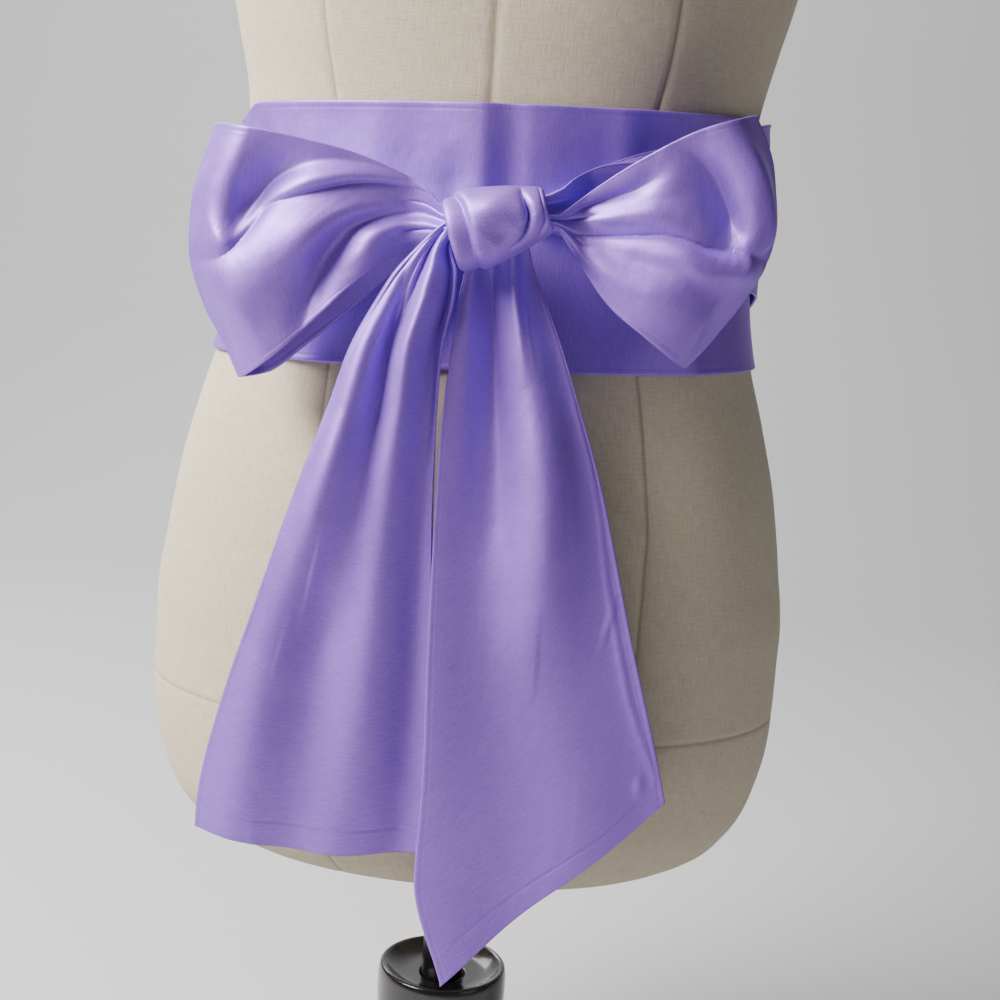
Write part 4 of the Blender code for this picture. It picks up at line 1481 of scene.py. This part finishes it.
# Long crease from the knot's top to the outer fold, the bulge over it, the hollow by the
# upper edge, the full cheek below it, the second hollow, and pinches at the knot.
LEFT_LOOP_FOLDS = (
    Fold(((-0.99, 0.97, -0.4), (-0.89, 0.85, -1.4), (-0.81, 0.79, -2.2), (-0.68, 0.71, -2.8),
          (-0.59, 0.67, -3.2), (-0.49, 0.63, -3.6), (-0.43, 0.54, -4.2), (-0.36, 0.475, -4.2),
          (-0.28, 0.45, -3.4), (-0.12, 0.455, -1.8), (-0.02, 0.46, 0.0)), 2.6, 6.5, 1.1),
    Fold(((-0.92, 0.93, 0.0), (-0.82, 0.86, 1.4), (-0.72, 0.80, 2.4), (-0.62, 0.75, 2.0),
          (-0.56, 0.70, 0.6)), 8.0, 8.0),
    Fold(((-0.88, 0.99, 0.0), (-0.72, 0.93, -3.0), (-0.59, 0.87, -6.0), (-0.50, 0.79, -10.6),
          (-0.44, 0.69, -11.4), (-0.39, 0.61, -9.0), (-0.35, 0.55, -4.2), (-0.32, 0.51, 0.0)),
          15.0, 9.0, 2.0),
    Fold(((-0.10, 0.22, 0.0), (-0.30, 0.27, 3.0), (-0.48, 0.33, 6.0), (-0.62, 0.39, 7.0),
          (-0.74, 0.47, 5.0), (-0.86, 0.58, 1.6), (-0.94, 0.70, 0.0)), 12.0, 21.0),
    Fold(((-0.97, 0.60, -0.6), (-0.90, 0.52, -2.6), (-0.82, 0.45, -5.0), (-0.74, 0.38, -7.0),
          (-0.67, 0.27, -7.6), (-0.60, 0.15, -6.8), (-0.54, 0.06, -4.6), (-0.50, -0.02, -2.4)),
          8.0, 10.0, 1.8),
    Fold(((-0.95, 0.38, 0.0), (-0.88, 0.34, 1.6), (-0.82, 0.27, 3.4), (-0.78, 0.17, 3.6),
          (-0.75, 0.06, 2.0)), 7.0, 7.0),
    Fold(((-0.995, 0.30, -0.6), (-0.93, 0.27, -1.2), (-0.88, 0.275, 0.0)), 3.0, 3.0, 1.3),
    Fold(((-0.995, 0.76, -0.6), (-0.93, 0.70, -1.2), (-0.87, 0.65, 0.0)), 3.0, 3.5, 1.3),
    Fold(((-0.08, 0.05, 0.0), (-0.14, 0.16, -1.8), (-0.20, 0.22, -1.6), (-0.32, 0.22, 0.0)), 6.0, 8.0),
    Fold(((0.04, 0.62, 0.0), (0.20, 0.60, -2.6), (0.42, 0.58, -3.4), (0.66, 0.52, -2.6),
          (0.95, 0.5, -0.8)), 6.0, 9.0, 1.2),
    Fold(((0.10, 0.30, 0.0), (0.30, 0.34, 2.6), (0.55, 0.36, 2.4), (0.85, 0.4, 0.0)), 9.0, 9.0),
    Fold(((0.45, 0.82, 0.0), (0.65, 0.78, -1.8), (0.85, 0.72, -1.4), (0.98, 0.7, -0.4)), 4.0, 6.0, 1.3),
)
# Crease across the cheek, the lobe over it, the deep pocket, the curved rim round the
# pocket and its lower turn, and the full lower part.
RIGHT_LOOP_FOLDS = (
    Fold(((-0.99, 0.18, 0.0), (-0.95, 0.27, -1.4), (-0.87, 0.41, -2.6), (-0.81, 0.46, -3.0),
          (-0.74, 0.49, -3.4), (-0.66, 0.50, -3.8), (-0.57, 0.485, -4.4), (-0.46, 0.455, -4.8),
          (-0.31, 0.45, -4.4), (-0.18, 0.45, -3.4), (-0.07, 0.445, -1.6), (0.02, 0.44, 0.0)),
          6.0, 2.6, 1.1),
    Fold(((-0.96, 0.44, 0.0), (-0.90, 0.56, 2.0), (-0.82, 0.62, 3.2), (-0.72, 0.63, 3.2),
          (-0.62, 0.60, 1.2), (-0.56, 0.58, 0.0)), 10.0, 8.0),
    Fold(((-0.62, 0.99, 0.0), (-0.53, 0.90, -4.0), (-0.46, 0.80, -9.0), (-0.40, 0.70, -12.0),
          (-0.35, 0.61, -12.4), (-0.30, 0.54, -9.0), (-0.25, 0.49, -4.0), (-0.20, 0.47, 0.0)),
          8.5, 20.0, 2.0),
    Fold(((-0.44, 0.99, 0.0), (-0.34, 0.93, 2.0), (-0.26, 0.84, 3.4), (-0.19, 0.72, 4.0),
          (-0.14, 0.61, 3.6), (-0.10, 0.53, 2.0), (-0.08, 0.48, 0.0)), 9.0, 8.0),
    Fold(((-0.06, 0.385, 0.6), (-0.16, 0.38, 2.6), (-0.30, 0.37, 4.0), (-0.42, 0.36, 4.0),
          (-0.56, 0.39, 2.8), (-0.70, 0.40, 1.4), (-0.84, 0.34, 0.0)), 6.0, 12.0),
    Fold(((-0.96, 0.10, 0.0), (-0.90, 0.13, 2.2), (-0.77, 0.15, 4.2), (-0.62, 0.17, 4.0),
          (-0.45, 0.18, 2.4), (-0.30, 0.20, 0.0)), 14.0, 12.0),
    Fold(((-0.08, 0.04, 0.0), (-0.15, 0.17, -4.0), (-0.22, 0.26, -3.8), (-0.34, 0.26, -2.0),
          (-0.48, 0.26, 0.0)), 9.0, 11.0),
    Fold(((-0.98, 0.92, 0.0), (-0.89, 0.82, -2.4), (-0.79, 0.82, -3.6), (-0.71, 0.86, -2.8),
          (-0.66, 0.92, -1.0)), 7.0, 6.0),
    Fold(((-0.995, 0.62, -0.6), (-0.94, 0.64, -1.2), (-0.88, 0.68, 0.0)), 3.0, 3.0, 1.3),
    Fold(((-0.995, 0.34, -0.6), (-0.93, 0.22, -1.2), (-0.86, 0.22, 0.0)), 3.0, 4.0, 1.3),
    Fold(((0.04, 0.42, 0.0), (0.22, 0.46, -3.0), (0.45, 0.50, -3.6), (0.70, 0.52, -2.6),
          (0.96, 0.5, -0.8)), 7.0, 7.0, 1.2),
    Fold(((0.12, 0.70, 0.0), (0.32, 0.70, 2.4), (0.56, 0.68, 2.2), (0.86, 0.6, 0.0)), 8.0, 8.0),
    Fold(((0.40, 0.20, 0.0), (0.60, 0.24, -1.8), (0.82, 0.28, -1.4), (0.98, 0.3, -0.4)), 5.0, 5.0, 1.3),
)

LEFT_TAIL_ROWS = (
    TailRow(-0.004, -0.0110, -0.0040, 0.1280, 0.0004),
    TailRow(0.003, -0.0185, -0.0090, 0.1285, 0.0010),
    TailRow(0.010, -0.0250, -0.0105, 0.1290, 0.0020),
    TailRow(0.022, -0.0350, -0.0070, 0.1305, 0.0022),
    TailRow(0.033, -0.0415, -0.0075, 0.1310, 0.0028),
    TailRow(0.057, -0.0535, -0.0115, 0.1315, 0.0034),
    TailRow(0.084, -0.0620, -0.0120, 0.1310, 0.0036),
    TailRow(0.133, -0.0780, -0.0110, 0.1310, 0.0036),
    TailRow(0.183, -0.0930, -0.0085, 0.1315, 0.0034),
    TailRow(0.235, -0.1080, -0.0060, 0.1295, 0.0030),
    TailRow(0.281, -0.1180, -0.0050, 0.1262, 0.0028),
    TailRow(0.320, -0.1205, -0.0080, 0.1225, 0.0028),
)
RIGHT_TAIL_ROWS = (
    TailRow(-0.006, 0.0020, 0.0220, 0.1165, 0.0014),
    TailRow(0.016, -0.0030, 0.0275, 0.1165, 0.0026),
    TailRow(0.030, -0.0055, 0.0340, 0.1180, 0.0030),
    TailRow(0.050, -0.0070, 0.0430, 0.1200, 0.0036),
    TailRow(0.076, -0.0090, 0.0530, 0.1205, 0.0038),
    TailRow(0.113, -0.0100, 0.0665, 0.1225, 0.0038),
    TailRow(0.189, -0.0090, 0.0880, 0.1240, 0.0034),
    TailRow(0.268, -0.0070, 0.1110, 0.1215, 0.0028),
    TailRow(0.316, -0.0080, 0.1220, 0.1165, 0.0026),
    TailRow(0.374, 0.0080, 0.1330, 0.1090, 0.0024),
)
# Bright ridge under the knot, the valley beside it, the long crease, the rolled edge, and
# two slow swells with a hollow between them.
LEFT_TAIL_FOLDS = (
    Fold(((0.01, 0.52, 0.4), (0.06, 0.54, 2.2), (0.12, 0.56, 4.0), (0.20, 0.60, 4.4), (0.32, 0.66, 3.0),
          (0.46, 0.72, 1.0)), 13.0, 15.0, 2.0),
    Fold(((0.02, 0.80, -0.8), (0.07, 0.85, -3.0), (0.12, 0.88, -4.4), (0.18, 0.90, -3.4),
          (0.30, 0.93, -1.6), (0.42, 0.95, 0.0)), 7.0, 7.0, 1.5),
    Fold(((0.07, 0.01, -0.4), (0.13, 0.20, -1.6), (0.19, 0.34, -2.6), (0.25, 0.42, -3.2),
          (0.37, 0.48, -3.0), (0.48, 0.50, -2.0), (0.62, 0.50, -0.8), (0.72, 0.50, 0.0)), 7.0, 11.0, 1.4),
    Fold(((0.0, 0.06, 1.0), (0.06, 0.045, 1.6), (0.12, 0.04, 1.6), (0.20, 0.035, 1.0), (0.32, 0.03, 0.0)),
          2.6, 4.0),
    Fold(((0.04, 0.30, 0.6), (0.08, 0.32, 1.6), (0.14, 0.36, 1.6), (0.20, 0.44, 0.0)), 3.0, 3.5, 1.5),
    Fold(((0.34, 0.26, 4.0), (0.44, 0.27, 7.5), (0.50, 0.27, 7.0)), 30.0, 24.0),
    Fold(((0.58, 0.34, -2.4), (0.66, 0.33, -4.6), (0.74, 0.33, -2.6)), 30.0, 30.0),
    Fold(((0.78, 0.22, 3.0), (0.86, 0.23, 5.0), (0.93, 0.24, 4.0)), 24.0, 20.0),
    Fold(((0.30, 0.97, -0.5), (0.60, 0.94, -5.0), (0.85, 0.92, -7.0), (1.0, 0.91, -6.0)), 24.0, 20.0),
    Fold(((0.86, 0.72, -0.5), (0.93, 0.70, -1.6), (1.0, 0.70, -2.4)), 13.0, 13.0),
)
# Turned flap and ridge under the knot, the trough beside it, the broad swell that takes
# the light, the line of the turned-in edge with its puckers, and the slant hem.
RIGHT_TAIL_FOLDS = (
    Fold(((0.0, 0.80, 1.0), (0.03, 0.76, 2.8), (0.07, 0.72, 4.2), (0.12, 0.67, 4.2), (0.18, 0.64, 2.6),
          (0.28, 0.62, 0.0)), 6.0, 9.0, 1.6),
    Fold(((0.0, 0.22, 1.0), (0.012, 0.36, 2.2), (0.025, 0.54, 2.6), (0.045, 0.68, 1.6)), 1.2, 6.0, 1.3),
    Fold(((0.02, 0.10, 1.0), (0.10, 0.12, 2.6), (0.22, 0.14, 2.4), (0.42, 0.15, 0.0)), 9.0, 11.0),
    Fold(((0.05, 0.40, -1.4), (0.12, 0.38, -4.0), (0.20, 0.38, -5.0), (0.34, 0.38, -3.4),
          (0.50, 0.36, 0.0)), 11.0, 12.0, 1.8),
    Fold(((0.28, 0.72, 4.0), (0.40, 0.70, 8.0), (0.52, 0.62, 8.0), (0.58, 0.58, 5.0)), 22.0, 26.0),
    Fold(((0.60, 0.74, -3.0), (0.70, 0.70, -5.0), (0.80, 0.66, -3.0)), 28.0, 30.0),
    Fold(((0.45, 0.06, 0.0), (0.62, 0.05, 3.4), (0.82, 0.04, 5.4), (1.0, 0.04, 5.4)), 55.0, 30.0),
    Fold(((0.05, 0.955, 0.3), (0.30, 0.965, 0.6), (0.50, 0.955, 1.0), (0.64, 0.93, 1.3),
          (0.80, 0.93, 1.1), (0.95, 0.975, 0.4)), 0.9, 2.6, 1.4),
    Fold(((0.72, 0.82, 0.0), (0.695, 0.88, 1.2), (0.665, 0.945, 0.6)), 2.0, 2.0),
    Fold(((0.925, 0.90, 0.2), (0.94, 0.90, 1.3), (0.955, 0.905, 0.2)), 2.4, 2.4),
    Fold(((0.80, 0.24, 1.0), (0.90, 0.22, 2.4), (1.0, 0.20, 1.8)), 20.0, 20.0),
)

KNOT_ROWS = (
    KnotRow(-0.0110, 0.0060, 0.0045),
    KnotRow(-0.0185, 0.0105, 0.0080),
    KnotRow(-0.0228, 0.0140, 0.0110),
    KnotRow(-0.0215, 0.0168, 0.0140),
    KnotRow(-0.0140, 0.0178, 0.0158),
    KnotRow(-0.0040, 0.0168, 0.0164),
    KnotRow(0.0060, 0.0150, 0.0160),
    KnotRow(0.0150, 0.0128, 0.0148),
    KnotRow(0.0220, 0.0108, 0.0128),
    KnotRow(0.0232, 0.0088, 0.0100),
    KnotRow(0.0190, 0.0066, 0.0072),
    KnotRow(0.0130, 0.0040, 0.0045),
)
# The overlapped edge of the outer wind, the deep pinch, two fine pulls at the right end,
# a dimple low on the front and pulls on the hidden side.
KNOT_FOLDS = (
    Fold(((0.385, 0.20, 0.8), (0.385, 0.39, 1.6), (0.39, 0.45, 1.8), (0.395, 0.52, 1.8),
          (0.395, 0.60, 1.7), (0.365, 0.70, 1.5), (0.335, 0.80, 0.8)), 1.2, 16.0, 1.7),
    Fold(((0.37, 0.20, -0.6), (0.370, 0.40, -1.9), (0.378, 0.52, -2.0), (0.365, 0.64, -1.6),
          (0.325, 0.78, -0.5)), 3.0, 1.2, 1.5),
    Fold(((0.52, 0.36, -0.6), (0.58, 0.385, -2.2), (0.615, 0.43, -3.8), (0.635, 0.48, -4.6),
          (0.64, 0.53, -4.6), (0.635, 0.58, -3.6), (0.625, 0.65, -1.8), (0.62, 0.72, -0.4)), 1.2, 1.0, 1.3),
    Fold(((0.66, 0.35, -0.4), (0.70, 0.41, -1.5), (0.725, 0.46, -2.0), (0.735, 0.52, -2.0),
          (0.735, 0.60, -1.7), (0.72, 0.70, -0.8)), 1.1, 1.0, 1.5),
    Fold(((0.72, 0.34, -0.4), (0.785, 0.44, -1.2), (0.81, 0.52, -1.5), (0.81, 0.62, -1.2),
          (0.79, 0.74, -0.5)), 1.0, 1.0, 1.5),
    Fold(((0.45, 0.42, -1.0), (0.50, 0.44, -2.4), (0.56, 0.46, -1.6)), 6.0, 4.0),
    Fold(((0.44, 0.52, 0.3), (0.49, 0.58, 1.2), (0.55, 0.64, 1.0), (0.57, 0.72, 0.2)), 5.0, 5.0),
    Fold(((0.28, 0.30, 0.3), (0.285, 0.50, 0.9), (0.275, 0.70, 0.3)), 3.0, 3.0),
    Fold(((0.48, 0.78, 0.0), (0.50, 0.90, -1.4), (0.48, 0.99, -0.4)), 2.5, 2.0, 1.3),
    Fold(((0.58, 0.02, -0.4), (0.56, 0.10, -1.4), (0.58, 0.20, 0.0)), 2.0, 2.5, 1.3),
)


# ---- studio --------------------------------------------------------------------------
class Lamp(NamedTuple):
    """A soft square light: name, place, what it faces, side length, watts and colour."""

    name: str
    place: tuple
    target: tuple
    size: float
    power: float
    colour: str


LAMPS = (
    Lamp("key", (-1.06, -0.58, 1.42), (0.0, 0.0, WAIST_Z), 0.8, 80.0, "#fff8f0"),
    Lamp("fill", (1.5, -1.1, 0.75), (0.0, 0.0, WAIST_Z), 1.0, 2.2, "#e8ecff"),
    Lamp("rim", (-0.9, 1.4, 1.5), (0.0, 0.0, WAIST_Z), 0.8, 12.0, "#ffffff"),
    Lamp("wall", (-0.9, 0.7, 2.4), (-0.6, 2.4, 0.6), 1.6, 62.0, "#ffffff"),
)


@dataclass
class Studio:
    """Floor, backdrop, light and camera.

    Attributes:
        distance: camera to the form's axis.
        azimuth: camera's place round the form, towards the wearer's left.
        rise: camera above the middle of the waist.
        heading, pitch, roll: where the camera points.
        lens: focal length in millimetres on a 36 mm sensor.
        wall_y, wall_z: place and height of the backdrop's wall.
        sweep: radius of the curve between floor and wall.
        air, air_strength: colour and strength of the light from all round.
    """

    distance: float = 0.8746
    azimuth: float = math.radians(4.05)
    rise: float = 0.0052
    heading: float = math.radians(3.164)
    pitch: float = math.radians(9.92)
    roll: float = math.radians(4.2)
    lens: float = 57.85
    wall_y: float = 2.4
    wall_z: float = 4.0
    sweep: float = 0.9
    air: str = "#dfe2ea"
    air_strength: float = 0.09

    def camera(self) -> None:
        """Place the camera from its heading, pitch and roll."""
        place = Vector((self.distance * math.sin(self.azimuth), -self.distance * math.cos(self.azimuth),
                        WAIST_Z + self.rise))
        forward = Vector((-math.sin(self.heading) * math.cos(self.pitch),
                          math.cos(self.heading) * math.cos(self.pitch), -math.sin(self.pitch)))
        level = Vector((math.cos(self.heading), math.sin(self.heading), 0.0))
        upright = level.cross(forward)
        right = level * math.cos(self.roll) + upright * math.sin(self.roll)
        up = upright * math.cos(self.roll) - level * math.sin(self.roll)
        data = bpy.data.cameras.new("camera")
        data.lens = self.lens
        data.sensor_width = 36.0
        data.clip_start = 0.01
        camera = bpy.data.objects.new("camera", data)
        turn = Matrix((right, up, -forward)).transposed().to_4x4()
        camera.matrix_world = Matrix.Translation(place) @ turn
        bpy.context.scene.collection.objects.link(camera)
        bpy.context.scene.camera = camera

    def light(self, lamp: Lamp) -> None:
        """Hang one lamp and turn it to what it faces."""
        data = bpy.data.lights.new(lamp.name, "AREA")
        data.shape = "SQUARE"
        data.size = lamp.size
        data.energy = lamp.power
        data.color = linear(lamp.colour)[:3]
        hung = bpy.data.objects.new(lamp.name, data)
        hung.location = lamp.place
        hung.rotation_euler = (Vector(lamp.target) - Vector(lamp.place)).to_track_quat("-Z", "Y").to_euler()
        bpy.context.scene.collection.objects.link(hung)

    def backdrop(self) -> None:
        """Lay the floor and sweep it up behind in one curve.

        The profile runs along the floor, up a quarter circle and up the wall.
        """
        turn = np.linspace(0, math.pi / 2, 24)
        curve_y = self.wall_y - self.sweep + self.sweep * np.sin(turn)
        curve_z = self.sweep - self.sweep * np.cos(turn)
        y = np.concatenate([[-3.5, -1.0, 0.5], curve_y, [self.wall_y]])
        z = np.concatenate([[0.0, 0.0, 0.0], curve_z, [self.wall_z]]) + FLOOR_Z
        x = np.linspace(-4.5, 4.5, 3)
        points = np.stack(np.broadcast_arrays(x[None, :], y[:, None], z[:, None]), axis=-1)
        index = np.arange(points.size // 3).reshape(points.shape[:2])
        mesh = bpy.data.meshes.new("floor_and_backdrop")
        mesh.from_pydata(points.reshape(-1, 3).tolist(), [], grid_quads(index).tolist())
        mesh.shade_smooth()
        mesh.materials.append(PaperFinish().material())
        sheet = bpy.data.objects.new("floor_and_backdrop", mesh)
        bpy.context.scene.collection.objects.link(sheet)

    def build(self) -> None:
        """Build the whole studio."""
        self.camera()
        self.backdrop()
        for lamp in LAMPS:
            self.light(lamp)
        world = bpy.data.worlds.new("studio")
        world.use_nodes = True
        set_inputs(world.node_tree, world.node_tree.nodes["Background"],
                   {"Color": linear(self.air), "Strength": self.air_strength})
        bpy.context.scene.world = world


# ---- the whole -----------------------------------------------------------------------
def main() -> None:
    """Build the studio, the form and its stand, and the sash, logging each piece's face count."""
    logging.basicConfig(level=logging.INFO, format="%(message)s")
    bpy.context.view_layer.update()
    Studio().build()
    torso = Torso()
    satin = SatinFinish().material()
    linen = LinenFinish().material()
    lacquer = LacquerFinish().material()
    enamel = EnamelFinish().material()
    FormCover(torso).build(linen)
    for part in (neck_lid(), base_disc(), turned_hub(), turned_column()):
        part.build(lacquer, Slot.BLACK_WOOD)
    enamelled_pole().build(enamel, Slot.STEEL)
    WaistTurn(torso, BAND_FOLDS).build(satin)
    OuterTurn("outer_turn_left", "sash_wrap_left", torso, side=-1, rows=LEFT_TURN_ROWS,
              folds=LEFT_TURN_FOLDS, flat=(STRIP_WIDTH, 0.40)).build(satin)
    OuterTurn("outer_turn_right", "sash_wrap_right", torso, side=1, rows=RIGHT_TURN_ROWS,
              folds=RIGHT_TURN_FOLDS, flat=(STRIP_WIDTH, 0.39)).build(satin)
    WrappedKnot(KNOT_ROWS, KNOT_FOLDS).build(satin)
    BowLoop("loop_left", "sash_loop_left", side=-1, root_x=0.0165, root_z=-0.003, outer=LEFT_LOOP_OUTER,
            rows=LEFT_LOOP_ROWS, folds=LEFT_LOOP_FOLDS, flat=(STRIP_WIDTH, 0.285),
            area=0.0285).build(satin)
    BowLoop("loop_right", "sash_loop_right", side=1, root_x=0.0385, root_z=0.008, outer=RIGHT_LOOP_OUTER,
            rows=RIGHT_LOOP_ROWS, folds=RIGHT_LOOP_FOLDS, flat=(STRIP_WIDTH, 0.265),
            area=0.0260).build(satin)
    Tail("tail_left", "sash_tail_left", rows=LEFT_TAIL_ROWS, waves=(2.0, 0.15), root=(-0.004, -0.004),
         hem=(0.303, 0.309), bow=0.005, folds=LEFT_TAIL_FOLDS, flat=(STRIP_WIDTH, 0.31),
         area=0.0345).build(satin)
    Tail("tail_right", "sash_tail_right", rows=RIGHT_TAIL_ROWS, waves=(1.5, 0.55), root=(0.010, -0.006),
         hem=(0.3755, 0.2735), bow=0.0, folds=RIGHT_TAIL_FOLDS, flat=(STRIP_WIDTH, 0.36), area=0.0365,
         twist=0.016).build(satin)


if __name__ == "__main__":
    main()
